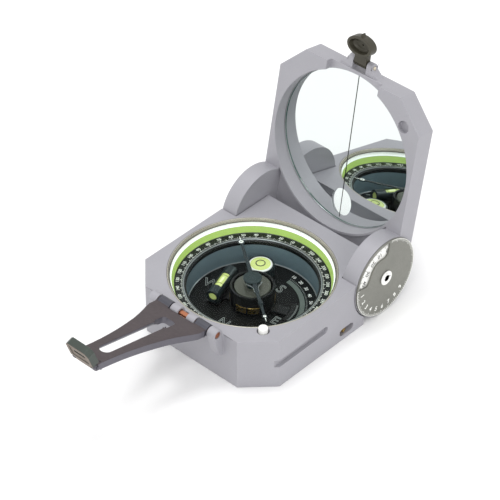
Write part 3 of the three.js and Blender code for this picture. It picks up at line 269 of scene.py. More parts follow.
def edged(obj, width, segments=2, angle=32):
    """Small rounded edges, flat faces that shade flat, and curved ones that shade smooth."""
    work = bmesh.new()
    work.from_mesh(obj.data)
    bmesh.ops.remove_doubles(work, verts=work.verts, dist=0.004 * MM)
    bmesh.ops.dissolve_degenerate(work, edges=work.edges, dist=0.002 * MM)
    bmesh.ops.dissolve_limit(
        work, angle_limit=math.radians(0.6), verts=work.verts, edges=work.edges, delimit={"NORMAL"}
    )
    work.to_mesh(obj.data)
    work.free()
    bevel = obj.modifiers.new("edges", "BEVEL")
    bevel.width = width * MM
    bevel.segments = segments
    bevel.limit_method = "ANGLE"
    bevel.angle_limit = math.radians(angle)
    bevel.use_clamp_overlap = False
    bevel.miter_outer = "MITER_ARC"
    settled(obj)
    return smooth(obj)


def smooth(obj, angle=38):
    obj.data.polygons.foreach_set("use_smooth", [True] * len(obj.data.polygons))
    obj.data.set_sharp_from_angle(angle=math.radians(angle))
    weights = obj.modifiers.new("weights", "WEIGHTED_NORMAL")
    weights.keep_sharp = True
    weights.weight = 80
    return settled(obj)


def joined(name, parts):
    """Several meshes as one object."""
    work = bmesh.new()
    for part in parts:
        work.from_mesh(part.data)
        bpy.data.objects.remove(part)
    mesh = bpy.data.meshes.new(name)
    work.to_mesh(mesh)
    work.free()
    obj = bpy.data.objects.new(name, mesh)
    SCENE.collection.objects.link(obj)
    return obj


def tube(name, points, radius):
    """A round wire through the points."""
    curve = bpy.data.curves.new(name, "CURVE")
    curve.dimensions = "3D"
    curve.bevel_depth = radius * MM
    curve.bevel_resolution = 2
    curve.use_fill_caps = True
    spline = curve.splines.new("POLY")
    spline.points.add(len(points) - 1)
    for point, place in zip(spline.points, points):
        point.co = (*(Vector(place) * MM), 1)
    obj = bpy.data.objects.new(name, curve)
    SCENE.collection.objects.link(obj)
    graph = bpy.context.evaluated_depsgraph_get()
    mesh = bpy.data.meshes.new_from_object(obj.evaluated_get(graph))
    bpy.data.objects.remove(obj)
    made = bpy.data.objects.new(name, mesh)
    SCENE.collection.objects.link(made)
    mesh.polygons.foreach_set("use_smooth", [True] * len(mesh.polygons))
    return made


def lettering(name, marks, matrix, outlined=False, weight=0.006):
    """Numbers and letters as thin solids. Each mark is (text, size, x, y, z, angle)."""
    parts = []
    for text, size, x, y, z, angle in marks:
        curve = bpy.data.curves.new(name, "FONT")
        curve.body = text
        curve.size = size * MM
        curve.align_x = "CENTER"
        curve.align_y = "CENTER"
        curve.resolution_u = 3
        if outlined:
            curve.fill_mode = "NONE"
            curve.bevel_depth = 0.12 * MM
            curve.bevel_resolution = 0
        else:
            curve.extrude = 0.015 * MM
            curve.offset = weight * size * MM
        obj = bpy.data.objects.new(name, curve)
        SCENE.collection.objects.link(obj)
        graph = bpy.context.evaluated_depsgraph_get()
        mesh = bpy.data.meshes.new_from_object(obj.evaluated_get(graph))
        bpy.data.objects.remove(obj)
        mesh.transform(placed(x, y, z, "Z", angle))
        part = bpy.data.objects.new(name, mesh)
        SCENE.collection.objects.link(part)
        parts.append(part)
    return moved(joined(name, parts), matrix)


def ring_marks(values, size, radius, z, first, step, facing=-90):
    """Marks for numbers round a circle, the first at angle first, each turned so its top is outward."""
    marks = []
    for i, value in enumerate(values):
        angle = first + i * step
        turn = math.radians(angle)
        marks.append((value, size, radius * math.cos(turn), radius * math.sin(turn), z, angle + facing))
    return marks


def ticks(name, angles, inner, outer, width, z0, z1, matrix):
    """Radial ticks; inner is a radius, or a function that gives one from the tick's angle."""
    verts, faces = [], []
    for angle in angles:
        r0 = inner(angle) if callable(inner) else inner
        turn = math.radians(angle)
        along = Vector((math.cos(turn), math.sin(turn), 0))
        side = Vector((-math.sin(turn), math.cos(turn), 0)) * (width / 2)
        corners = [along * r0 - side, along * outer - side, along * outer + side, along * r0 + side]
        base = len(verts)
        verts += [(c.x, c.y, z0) for c in corners] + [(c.x, c.y, z1) for c in corners]
        for face in ((3, 2, 1, 0), (4, 5, 6, 7), (0, 1, 5, 4), (1, 2, 6, 5), (2, 3, 7, 6), (3, 0, 4, 7)):
            faces.append([base + i for i in face])
    return moved(new_object(name, verts, faces), matrix)


# ---------- materials ----------


def linear(red, green, blue):
    """An sRGB colour from 0 to 255 as scene-linear."""
    shares = [c / 255 for c in (red, green, blue)]
    return tuple(c / 12.92 if c <= 0.04045 else ((c + 0.055) / 1.055) ** 2.4 for c in shares) + (1,)


def noise(tree, vector, scale, detail, roughness=0.5):
    node = tree.nodes.new("ShaderNodeTexNoise")
    node.inputs["Scale"].default_value = scale
    node.inputs["Detail"].default_value = detail
    node.inputs["Roughness"].default_value = roughness
    tree.links.new(vector, node.inputs["Vector"])
    return node.outputs["Fac"]


def ramp(tree, value, low, high, to_low=0.0, to_high=1.0):
    node = tree.nodes.new("ShaderNodeMapRange")
    for name, number in (("From Min", low), ("From Max", high), ("To Min", to_low), ("To Max", to_high)):
        node.inputs[name].default_value = number
    tree.links.new(value, node.inputs["Value"])
    return node.outputs["Result"]


def blended(tree, share, first, second):
    node = tree.nodes.new("ShaderNodeMix")
    node.data_type = "RGBA"
    tree.links.new(share, node.inputs["Factor"])
    for socket, colour in ((node.inputs[6], first), (node.inputs[7], second)):
        if isinstance(colour, tuple):
            socket.default_value = colour
        else:
            tree.links.new(colour, socket)
    return node.outputs[2]


def shade(colour, share):
    return tuple(min(1, c * share) for c in colour[:3]) + (1,)


def surface(
    name, colour, rough, metal=0.0, mottle=0.05, grain=1600, depth=0.012, stretch=(1, 1, 1),
    speck=0.0, coat=0.0, glow=0.0, specular=0.5, spread=0.07,
):
    """A procedural finish: broad mottling, fine grain in bump and gloss, and light wear specks."""
    material = bpy.data.materials.new(name)
    material.use_nodes = True
    tree = material.node_tree
    shader = tree.nodes["Principled BSDF"]
    place = tree.nodes.new("ShaderNodeTexCoord")
    mapping = tree.nodes.new("ShaderNodeMapping")
    mapping.inputs["Scale"].default_value = stretch
    tree.links.new(place.outputs["Object"], mapping.inputs["Vector"])
    broad = noise(tree, place.outputs["Object"], 70, 4, 0.6)
    fine = noise(tree, mapping.outputs["Vector"], grain, 3, 0.55)
    tone = blended(tree, ramp(tree, broad, 0.35, 0.65), shade(colour, 1 - mottle), shade(colour, 1 + mottle))
    tone = blended(tree, ramp(tree, fine, 0.3, 0.7, 0, 0.5), tone, shade(colour, 1 - 1.6 * mottle))
    if speck:
        dots = noise(tree, place.outputs["Object"], 420, 5, 0.7)
        tone = blended(tree, ramp(tree, dots, 0.66, 0.74, 0, speck), tone, shade(colour, 1.5))
    tree.links.new(tone, shader.inputs["Base Color"])
    gloss = ramp(tree, fine, 0.25, 0.75, max(0.0, rough - spread), min(1, rough + spread))
    tree.links.new(gloss, shader.inputs["Roughness"])
    bump = tree.nodes.new("ShaderNodeBump")
    bump.inputs["Strength"].default_value = 0.5
    bump.inputs["Distance"].default_value = depth * MM
    tree.links.new(fine, bump.inputs["Height"])
    tree.links.new(bump.outputs["Normal"], shader.inputs["Normal"])
    shader.inputs["Metallic"].default_value = metal
    shader.inputs["Specular IOR Level"].default_value = specular
    shader.inputs["Coat Weight"].default_value = coat
    shader.inputs["Coat Roughness"].default_value = 0.08
    # Painted glow: the surface emits its own colour, though it is no lamp.
    if glow:
        tree.links.new(tone, shader.inputs["Emission Color"])
        shader.inputs["Emission Strength"].default_value = glow
    return material


def clear_pane(name, tint, haze=0.02):
    """Thin clear glass: what is behind shows through, with a mirror share that grows at a slant."""
    material = bpy.data.materials.new(name)
    material.use_nodes = True
    tree = material.node_tree
    tree.nodes.remove(tree.nodes["Principled BSDF"])
    through = tree.nodes.new("ShaderNodeBsdfTransparent")
    through.inputs["Color"].default_value = tint
    gloss = tree.nodes.new("ShaderNodeBsdfGlossy")
    gloss.inputs["Roughness"].default_value = haze
    slant = tree.nodes.new("ShaderNodeLayerWeight")
    slant.inputs["Blend"].default_value = 0.5
    mix = tree.nodes.new("ShaderNodeMixShader")
    tree.links.new(ramp(tree, slant.outputs["Facing"], 0.6, 1.0, 0.004, 0.3), mix.inputs["Fac"])
    tree.links.new(through.outputs["BSDF"], mix.inputs[1])
    tree.links.new(gloss.outputs["BSDF"], mix.inputs[2])
    tree.links.new(mix.outputs["Shader"], tree.nodes["Material Output"].inputs["Surface"])
    return material


CASE = surface(
    "case_satin", linear(163, 162, 168), 0.5, 0.2, mottle=0.025, grain=2200, depth=0.02, speck=0.12
)
ARM = surface("arm_satin", linear(76, 67, 69), 0.46, 0.3, mottle=0.10, grain=900, depth=0.03, speck=0.25)
# Painted light: a lighter copy of the arm's paint for the faces that do not look up.
ARM_LIT_SIDE = surface("arm_side_painted_light", linear(98, 96, 104), 0.4, 0.4, mottle=0.06, grain=900, depth=0.02, speck=0.2)
KNUCKLE = surface("knuckle_grey", linear(78, 78, 86), 0.4, 0.35, mottle=0.06, grain=1200, depth=0.02)
DARK_OLIVE = surface(
    "sight_olive", linear(66, 63, 52), 0.4, 0.3, mottle=0.10, grain=1100, depth=0.03, speck=0.2
)
DARK_GREEN = surface(
    "tip_green", linear(64, 72, 66), 0.42, 0.2, mottle=0.12, grain=1100, depth=0.03, speck=0.3
)
COPPER = surface("copper", linear(190, 126, 96), 0.28, 1.0, mottle=0.06, stretch=(1, 12, 12), depth=0.008)
CHAMPAGNE = surface("champagne", linear(190, 187, 172), 0.3, 0.35, mottle=0.012, grain=2600, depth=0.0005)
BRASS = surface("brass", linear(176, 146, 84), 0.28, 1.0, mottle=0.08, depth=0.01)
STEEL = surface("steel", linear(178, 182, 186), 0.26, 1.0, mottle=0.05, stretch=(1, 1, 8), depth=0.008)
MAGNET = surface(
    "magnet_grey", linear(94, 95, 86), 0.5, 0.4, mottle=0.16, grain=420, stretch=(1, 9, 1), depth=0.02
)
WHITE = surface("white_paint", linear(246, 246, 242), 0.35, mottle=0.01, depth=0.004)
SEAL = surface("seal_dark", linear(70, 70, 60), 0.5, mottle=0.06, depth=0.004)
# Painted reflection: a beige-brown tone on the tip's underside, which is the same dark green metal reflecting
# the bright floor.
TIP_PAINTED_REFLECTION = surface("tip_underside_painted_reflection", linear(116, 102, 90), 0.5, mottle=0.12, grain=700, depth=0.02, speck=0.2)
# Painted highlight for the air bubble: a pale colour with a painted glow, though it is no lamp.
BUBBLE_WITH_GLOW = surface("bubble", linear(232, 238, 186), 0.12, mottle=0.02, depth=0.001, glow=0.2)
# White paint with a painted glow: it emits light though it is no lamp.
WHITE_PAINTED_GLOW = surface("white_paint_painted_glow", linear(248, 248, 244), 0.4, mottle=0.01, depth=0.004, glow=0.3)
IVORY = surface("ivory_pin", linear(222, 212, 190), 0.32, 0.2, mottle=0.04, depth=0.004)
GREY_INK = surface("grey_ink", linear(176, 182, 178), 0.5, mottle=0.05, depth=0.003)
# White ink with a painted glow: it emits light though it is no lamp.
WHITE_INK_WITH_GLOW = surface("white_ink_painted_glow", linear(240, 241, 236), 0.5, mottle=0.02, depth=0.003, glow=0.12)
BLACK_INK = surface("black_ink", linear(40, 42, 42), 0.5, mottle=0.05, depth=0.003)
# Black ink for the mirror's sight line; the same near-black is the painted shade on the hinge screws' socket
# floors.
LINE_INK_AND_SHADE = surface("line_ink_and_painted_shade", linear(14, 16, 16), 0.6, mottle=0.05, depth=0.002)
# Lime ring paint with a painted glow: it emits light though it is no lamp.
LIME_WITH_GLOW = surface("lime_paint_painted_glow", linear(184, 214, 112), 0.5, mottle=0.03, depth=0.006, glow=0.12)
# Vial liquid with a painted glow: it emits light though it is no lamp.
LIQUID_WITH_GLOW = surface("lime_liquid_painted_glow", linear(206, 218, 132), 0.15, mottle=0.06, depth=0.002, coat=0.4, glow=0.18)
BLACK = surface("satin_black", linear(11, 13, 14), 0.4, mottle=0.12, grain=1300, depth=0.01, specular=0.35)
FLOOR_BLACK = surface("dial_black", linear(9, 11, 11), 0.5, mottle=0.15, grain=1300, depth=0.01, specular=0.2)
TEAL = surface("drum_teal", linear(128, 148, 158), 0.42, 0.2, mottle=0.08, grain=1100, depth=0.01)
TEAL_DARK = surface("band_grey", linear(98, 108, 102), 0.5, mottle=0.1, depth=0.008)
BLUED = surface("blued_steel", linear(34, 46, 50), 0.36, 0.4, mottle=0.1, depth=0.006, coat=0.15)
KNOB = surface("knob_dark", linear(38, 52, 54), 0.5, mottle=0.1, depth=0.008, specular=0.35)
STEP_GREY = surface("step_grey", linear(150, 154, 156), 0.34, 0.6, mottle=0.05, depth=0.008)
PLATE_GREY = surface(
    "plate_grey", linear(128, 128, 121), 0.44, 0.35, mottle=0.07, grain=1500, depth=0.012, speck=0.15
)
# Near-black, used only as the painted shade in the bezel's top groove.
GROOVE_SHADE = surface("rubber", linear(26, 27, 28), 0.7, mottle=0.1, depth=0.02)
MIRROR = surface("silver", linear(228, 233, 232), 0.006, 1.0, mottle=0.004, depth=0.0, spread=0.004)
GLASS_EDGE = surface("glass_edge", linear(52, 84, 78), 0.12, mottle=0.08, depth=0.002, coat=0.6)
CRYSTAL = clear_pane("crystal_clear", (0.97, 0.99, 0.985, 1))
WINDOW = clear_pane("window_clear", (0.95, 0.98, 0.97, 1))


def finished(obj, name, material, body, replaces=(), second=None):
    obj.name = name
    obj.data.name = name
    obj.data.materials.clear()
    obj.data.materials.append(material)
    if second:
        obj.data.materials.append(second)
    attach(obj, body)
    if replaces:
        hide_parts(*replaces)
    return obj


def repaint(obj, choose, index=1):
    """Gives the material at index to the faces whose normal and centre choose() picks."""
    for face in obj.data.polygons:
        if choose(face.normal, face.center / MM):
            face.material_index = index


# ---------- the box ----------

# Each step of the dial well: its radius, its floor and its number of sides.
DIAL_WELL = [(27.8, 3.4, 128), (31.0, 14.9, 128), (31.8, 17.3, 128), (33.35, 19.85, 160)]
WELL_OPEN = 30  # above the box
BELOW = -1
LEVER_DEPTH = 2.1
SCREW_SLOT_Y = 15.4
INNER_LUG = (2.2, 6.2)
END_LUG = (13.3, 17.2)


def box_outline():
    shoulder = SIDE_END_Y + HALF_WIDTH - SHOULDER_X
    right = [
        (HALF_WIDTH - FRONT_CHAMFER, FRONT_Y),
        (HALF_WIDTH, FRONT_Y + FRONT_CHAMFER),
        (HALF_WIDTH, SIDE_END_Y),
        (SHOULDER_X, shoulder),
        (SHOULDER_X, REAR_Y),
    ]
    return right + [(-x, y) for x, y in reversed(right)]


def front_lug(side, span, foot):
    x0, x1 = sorted(side * x for x in span)
    # Round over the pin, down to the foot, then back to the box's front face and its top.
    top = BOX_HEIGHT - 0.2
    outline = circle(KNUCKLE_RADIUS, SIGHT_Y, SIGHT_Z, 30, -28, 216) + foot
    outline += [(FRONT_Y + 1.5, foot[-1][1]), (FRONT_Y + 1.5, top), (SIGHT_Y + 2, top)]
    return prism_x(outline, x0, x1)


def base_case():
    inner_foot = [(-38.6, 20.9), (-36.2, 17.6), (FRONT_Y, 15.7)]
    rib_foot = [(-39.1, 20.4), (-38.3, 17.0), (-37.3, 14.2), (-36.4, 13.2), (FRONT_Y, 12.9)]
    lugs = [front_lug(side, INNER_LUG, inner_foot) for side in (1, -1)]
    lugs += [front_lug(side, END_LUG, rib_foot) for side in (1, -1)]
    body = prism(box_outline(), 0, BOX_HEIGHT)
    groove_outline = [(y, z + GROOVE_Z) for y, z in obround(-60, 4.2, 1.6)]
    groove = [prism_x(groove_outline, *span(side, HALF_WIDTH - 1.6, FAR)) for side in (1, -1)]
    relief = [
        rod_x(EAR_RADIUS + 0.3, *span(side, SHOULDER_X, FAR), HINGE_Y, HINGE_Z, 128) for side in (1, -1)
    ]
    slot = prism_x([(y + SCREW_SLOT_Y, z + SCREW_Z) for y, z in obround(-4, 4, 1.65)], 32.3, FAR)
    screw_bore = moved(rod_x(1.55, 34.2, 42), placed(0, 0, SCREW_Z, "Z", SCREW_ANGLE))
    lever_side = CLINO_ANGLE + 180
    lever_sweep = prism(sector(24, 1, lever_side - 92, lever_side + 92), BELOW, LEVER_DEPTH)
    wells = [rod(radius, low, WELL_OPEN, steps=sides) for radius, low, sides in DIAL_WELL]
    wells += [
        rod(2.4, 15, WELL_OPEN, PIN_X, PIN_Y),  # the lift pin's bore
        rod(12.1, BELOW, 0.65, steps=96),  # the cover disc's seat
        rod(7.6, BELOW, LEVER_DEPTH),  # the outside lever's hub
        rod(5.5, BELOW, 10),  # the clinometer's shaft
        rod_x(1.45, -20, 20, SIGHT_Y, SIGHT_Z),  # the sight hinge pin
    ]
    shape = carved(body, add=lugs, cut=[*wells, *groove, *relief, slot, screw_bore, lever_sweep])
    return edged(shape, 0.22, 2)


def bottom_pieces():
    cover = carved(rod(12, 0, 0.6, steps=96), cut=[rod(0.9, -1, 1, *p) for p in screw_places()])
    finished(edged(cover, 0.08), "bottom_cover_disc", CASE, "case", ["bottom_cover"])
    for i, (x, y) in enumerate(screw_places()):
        head = turned([(0, 0.02), (0.6, 0.02), (0.8, 0.12), (0.8, 0.5), (0, 0.5)], 32)
        moved(head, placed(x, y))
        screw = carved(head, cut=[box(x - 1, x + 1, y - 0.12, y + 0.12, -1, 0.22)])
        node = f"cover_screw_{i + 1}"
        finished(edged(screw, 0.02, 1), f"cover_screw_head_{i + 1}", STEEL, "case", [node])


def screw_places():
    turns = [math.radians(CLINO_ANGLE + offset) for offset in (-62, 0, 62)]
    return [(9.8 * math.cos(t), 9.8 * math.sin(t)) for t in turns]


def declination_screw():
    driver_slot = box(SCREW_HEAD[1] - 0.6, SCREW_HEAD[1] + 1.1, -0.25, 0.25, -2, 2)
    shape = edged(carved(rod_x(1.4, *SCREW_HEAD), cut=[driver_slot]), 0.08)
    return moved(shape, placed(0, 0, SCREW_Z, "Z", SCREW_ANGLE))


# ---------- dial ----------


def dial_pieces():
    bezel = turned(
        [(33.3, 19.9), (33.3, 22.62), (33.18, 22.8), (33.0, 22.85), (32.92, 22.8), (32.88, 22.55),
         (32.8, 22.5), (32.76, 22.6), (32.62, 22.5), (32.46, 21.6), (32.45, 19.9)],
        200,
    )
    smooth(bezel, 50)
    finished(bezel, "bezel", CHAMPAGNE, "case", ["bezel_ring"], second=WHITE_PAINTED_GLOW)
    # The bezel's inner wall is coloured white with the painted glow.
    repaint(bezel, lambda normal, centre: centre.z < 21.5 and math.hypot(centre.x, centre.y) < 32.6)
    # A near-black ring laid in the bezel's groove: painted shade in the groove.
    gap = turned([(32.9, 22.5), (32.9, 22.66), (32.77, 22.62), (32.77, 22.5)], 200)
    finished(gap, "bezel_groove", GROOVE_SHADE, "case")
    pane = turned([(0, 20.7), (32.3, 20.7), (32.3, 21.3), (32.0, 21.5), (0, 21.5)], 160)
    finished(smooth(pane), "crystal_pane", CRYSTAL, "case", ["crystal"])
    seal = turned(
        [(32.44, 21.3), (32.44, 21.64), (32.3, 21.7), (32.12, 21.6), (32.12, 21.52), (32.34, 21.4)], 160
    )
    finished(smooth(seal), "crystal_seal", SEAL, "case")
    # The white spacer carries the painted glow.
    spacer = turned([(32.35, 19.9), (32.35, 20.6), (31.5, 19.95), (31.5, 19.9)], 160)
    finished(smooth(spacer, 20), "white_spacer", WHITE_PAINTED_GLOW, "case", ["white_ring"])
    glow = turned([(31.5, 17.35), (31.5, 19.85), (30.6, 17.35)], 160)
    finished(smooth(glow, 20), "lime_ring", LIME_WITH_GLOW, "case", ["luminous_ring"])
    circle_ring = turned(
        [(30.4, 15.75), (30.4, 17.1), (30.35, 17.15), (27.25, 17.15), (27.2, 17.1), (27.2, 15.75)], 200
    )
    finished(smooth(circle_ring, 25), "graduated_ring", BLACK, "dial_circle", ["graduated_circle"])
    drum = turned(
        [(27.55, 5.5), (27.55, 6.3), (26.9, 6.3), (26.9, 15.2), (28.4, 15.2), (28.4, 15.7), (26.9, 15.7),
         (26.9, 16.4), (25.9, 16.4), (25.9, 5.5)],
        200,
    )
    crown = [box(26.1, 27.4, -0.21, 0.21, 4.75, 5.6) for _ in range(CROWN_TEETH)]
    for i, tooth in enumerate(crown):
        moved(tooth, placed(axis="Z", angle=SCREW_ANGLE + (i + 0.5) * TOOTH_PITCH))
    drum = joined("drum", [drum, *crown])
    finished(smooth(drum, 25), "dial_drum", TEAL, "dial_circle", ["drum_gear"])
    step = turned([(27.2, 16.42), (27.2, 17.0), (27.0, 17.06), (26.72, 16.96), (26.72, 16.42)], 200)
    finished(smooth(step, 25), "dial_step", STEP_GREY, "dial_circle")
    lip = turned(
        [(26.7, 16.42), (26.7, 16.8), (26.0, 16.55), (25.86, 16.35), (25.86, 14.9), (25.89, 14.9),
         (25.89, 16.42)],
        200,
    )
    finished(smooth(lip, 40), "dial_lip", BLACK, "dial_circle")
    floor = turned([(25.6, 5.5), (25.6, 6.15), (25.55, 6.2), (6.45, 6.2), (6.4, 6.15), (6.4, 5.5)], 160)
    finished(smooth(floor, 25), "dial_floor", FLOOR_BLACK, "case", ["floor_dial"])
    # A light grey ring at the join of floor and wall: a painted highlight line.
    rim = turned([(25.78, 6.0), (25.78, 6.35), (25.6, 6.5), (25.35, 6.35), (25.35, 6.21), (25.62, 6.0)], 160)
    finished(smooth(rim, 25), "dial_floor_rim_painted_highlight", STEP_GREY, "case")
    dial_marks()


ZERO_ANGLE = 90


def dial_marks():
    none = Matrix.Identity(4)
    z0, z1 = 17.14, 17.19
    singles = ticks("degree_ticks", range(360), 27.35, 27.8, 0.1, z0, z1, none)
    fives = ticks("five_ticks", range(5, 365, 10), 27.35, 28.15, 0.17, z0, z1, none)
    tens = ticks("ten_ticks", range(0, 360, 10), 27.35, 28.3, 0.22, z0, z1, none)
    marks = joined("circle_ticks", [singles, fives, tens])
    finished(marks, "circle_ticks", WHITE_INK_WITH_GLOW, "dial_circle")
    tens_text = ring_marks([str(i * 10) for i in range(36)], 1.85, 29.2, 17.16, ZERO_ANGLE, 10)
    numbers = lettering("circle_numbers", tens_text, none)
    finished(numbers, "circle_numbers", WHITE_INK_WITH_GLOW, "dial_circle")
    letters = [
        ("S", 6.4, 2.3, 13.8, 6.3, 0),
        ("W", 6.6, -20.2, -2.2, 6.3, 20),
        ("E", 6.0, 13.4, -1.6, 6.3, 8),
        ("N", 6.2, -0.6, -16.2, 6.3, 0),
        ("0", 2.4, 16.6, 2.6, 6.3, 8),
    ]
    outlines = lettering("floor_letters", letters, none, outlined=True)
    finished(outlines, "floor_letters", GREY_INK, "case")
    band = prism(sector(20.5, 18.5, 2, 87), 6.2, 6.24)
    finished(band, "arc_band", TEAL_DARK, "case")
    fine = ticks("arc_ticks", [3 + i * 2.15 for i in range(40)], 20.9, 21.5, 0.13, 6.2, 6.25, none)
    finished(fine, "arc_ticks", GREY_INK, "case")
    values = [str(v) for v in (10, 20, 30, 40, 50, 60, 70, 80, 90)]
    arc = lettering("arc_numbers", ring_marks(values, 2.0, 22.9, 6.23, 87, -10.75), none)
    finished(arc, "arc_numbers", WHITE_INK_WITH_GLOW, "case")


def needle_pieces():
    z0, z1 = NEEDLE_Z - 0.2, NEEDLE_Z + 0.2
    half = [(26.3, 0), (24.2, 0.42), (22, 0.5), (4, 0.85), (0, 1.5), (-4, 0.85), (-22.4, 0.45), (-26.3, 0.16)]
    blade = carved(
        prism(half + [(x, -y) for x, y in reversed(half) if y], z0, z1),
        add=[rod(1.5, z0, z1, 22.7), rod(1.0, z0, z1, -23.2), rod(2.4, z0, z1)],
        cut=[rod(1.8, 0, 30)],
    )
    finished(moved(edged(blade, 0.08), AT_NEEDLE), "needle", BLUED, "needle", ["needle_blade"])
    points = [
        rod(0.95, z1, z1 + 0.03, 22.7),
        rod(0.62, z1, z1 + 0.03, -23.2),
        prism([(24.0, -0.24), (26.2, -0.05), (26.2, 0.05), (24.0, 0.24)], z1, z1 + 0.03),
        prism([(-24.2, -0.2), (-24.2, 0.2), (-26.2, 0.07), (-26.2, -0.07)], z1, z1 + 0.03),
    ]
    marks = moved(joined("needle_marks", points), AT_NEEDLE)
    finished(marks, "needle_marks", WHITE_INK_WITH_GLOW, "needle")
    text = [("N", 1.3, 22.7, 0, z1 + 0.05, -90), ("S", 0.9, -23.2, 0, z1 + 0.05, -90)]
    letters = lettering("needle_letters", text, AT_NEEDLE)
    finished(letters, "needle_letters", BLACK_INK, "needle")
    hub = turned(
        [(0, 18.85), (1.0, 18.6), (1.0, 17.9), (1.85, 17.9), (1.85, 15.0), (2.3, 15.0), (2.3, 17.6),
         (3.3, 18.0), (3.3, 18.85), (1.6, 18.9), (1.6, 19.4), (3.6, 19.4), (3.7, 19.46), (3.62, 19.52),
         (2.1, 19.66), (1.95, 19.64), (1.85, 19.7), (1.5, 19.8), (0, 19.8)],
        64,
    )
    finished(smooth(hub, 30), "needle_knob", KNOB, "needle", ["needle_hub"])
    loop = [(-2.9, 3.1), (-3.7, 2.6), (-4.4, 1.9), (-5.2, 1.2), (-6.2, 0.95), (-8.4, 0.9)]
    wires = [
        moved(tube("wire", [(x, side * y, NEEDLE_Z) for x, y in loop], 0.13), AT_NEEDLE) for side in (1, -1)
    ]
    finished(joined("balance_wire", wires), "balance_wire", STEEL, "needle")
    magnet = turned(
        [(7.1, 12.9), (7.2, 13.0), (7.2, 15.4), (7.05, 15.55), (2.45, 15.55), (2.35, 15.45), (2.35, 12.9)], 96
    )
    lines = [box(-7.5, 7.5, y - 0.07, y + 0.07, 15.4, 16) for y in (-5.6, -3.4, -1.15, 1.15, 3.4, 5.6)]
    magnet = moved(carved(magnet, cut=lines), AT_NEEDLE)
    finished(smooth(magnet, 30), "magnet", MAGNET, "needle", ["magnet_disc"])
    turns = [i * 0.45 for i in range(90)]
    coil = [(-14.45 - t * 0.042, 0.92 * math.cos(t), NEEDLE_Z + 0.5 * math.sin(t)) for t in turns]
    wire = moved(tube("coil", coil, 0.14), AT_NEEDLE)
    finished(wire, "balance_coil", BLUED, "needle", ["counterweight"])


def clinometer_pieces():
    thick = (FRAME_LOW, FRAME_TOP)
    frame_shape = carved(
        rod(7.4, *thick, steps=64),
        add=[
            box(0, 15.5, -2.2, 2.2, *thick),
            box(-16.9, 0, -3, 3, *thick),
            box(-16.9, -11.1, -7.8, 10, *thick),
            rod(5.6, *thick, *polar(ROUND_LEVEL_CIRCLE, ROUND_LEVEL_ANGLE), 64),
            moved(box(0, 14, -2.4, 2.4, *thick), placed(axis="Z", angle=ROUND_LEVEL_ANGLE)),
        ],
        cut=[rod(5.3, 0, 10, steps=64)],
    )
    frame_shape = moved(edged(frame_shape, 0.1), AT_CLINO)
    finished(frame_shape, "level_frame", BLACK, "clinometer", ["clinometer_frame"])
    vernier = prism(sector(18.4, 15.7, -17, 17), FRAME_LOW, 7.6)
    finished(moved(edged(vernier, 0.08), AT_CLINO), "vernier", BLACK, "clinometer", ["vernier_plate"])
    fine = ticks("vernier_ticks", [-15 + i * 1.5 for i in range(21)], 17.5, 18.2, 0.1, 7.6, 7.64, AT_CLINO)
    finished(fine, "vernier_ticks", GREY_INK, "clinometer")
    cup = turned(
        [(8.9, 7.85), (8.9, 15.6), (8.7, 15.9), (8.1, 15.9), (7.9, 15.7), (7.9, 8.85), (2.7, 8.85),
         (2.7, 7.85)],
        96,
    )
    finished(smooth(cup, 35), "damper_cup", BLACK, "clinometer", ["damping_cup"])
    starts = (-112, -78, 8, 44, 148, 182)
    bands = [prism(sector(9.0, 8.7, start, start + 30, 20), 8.3, 11.2) for start in starts]
    bands = moved(edged(joined("bands", bands), 0.06, 1), AT_CLINO)
    finished(bands, "damper_bands", BRASS, "clinometer")
    long_level()
    round_level()
    lever = carved(
        rod(6.8, 0.95, 1.85, steps=64),
        add=[box(-20, -4, -1.8, 1.8, 0.95, 1.85), rod(2.8, 0.35, 1.85, -20)],
        cut=[rod(3.7, 0, 5)],
    )
    lever = moved(edged(lever, 0.12), AT_CLINO)
    finished(lever, "outside_lever", CASE, "clinometer", ["clinometer_lever"])


def along_level(obj):
    """A piece turned round Z, laid along the long level, from the level's middle."""
    return moved(obj, placed(*LONG_LEVEL) @ placed(axis="X", angle=-90))


def long_level():
    at = AT_CLINO
    vial = along_level(turned(
        [(0, -8.6), (1.5, -8.5), (1.6, -8.05), (2.25, -7.9), (2.25, 7.9), (1.6, 8.05), (1.5, 8.5), (0, 8.6)],
        48,
    ))
    finished(moved(smooth(vial, 40), at), "long_vial", LIQUID_WITH_GLOW, "clinometer", ["long_level_vial"])
    shell = along_level(turned(
        [(2.75, -8.9), (2.75, 8.9), (1.75, 8.9), (1.75, 8.1), (2.3, 8.1), (2.3, -8.1), (1.75, -8.1),
         (1.75, -8.9)],
        48,
    ))
    shell = carved(
        shell,
        add=[box(-15.6, -11.8, y0, y0 + 1.9, 7.85, 8.6) for y0 in (-7.7, 8.0)],
        cut=[box(-15.3, -12.1, -3.2, 5.0, 11, 15)],
    )
    caps = ["level_cap_a", "level_cap_b"]
    finished(moved(edged(shell, 0.1), at), "long_level_shell", BLUED, "clinometer", caps)
    lines = [
        along_level(turned([(2.31, y0), (2.31, y0 + 0.16), (2.2, y0 + 0.16), (2.2, y0)], 48))
        for y0 in (-2.3, 2.6)
    ]
    finished(moved(joined("lines", lines), at), "long_vial_lines", BLACK_INK, "clinometer")
    bubble = along_level(
        turned([(0, -2.2), (0.55, -1.9), (0.7, -1.0), (0.7, 1.0), (0.55, 1.9), (0, 2.2)], 24)
    )
    moved(bubble, placed(0, 0, 1.72))
    finished(moved(smooth(bubble, 60), at), "long_bubble", BUBBLE_WITH_GLOW, "clinometer")


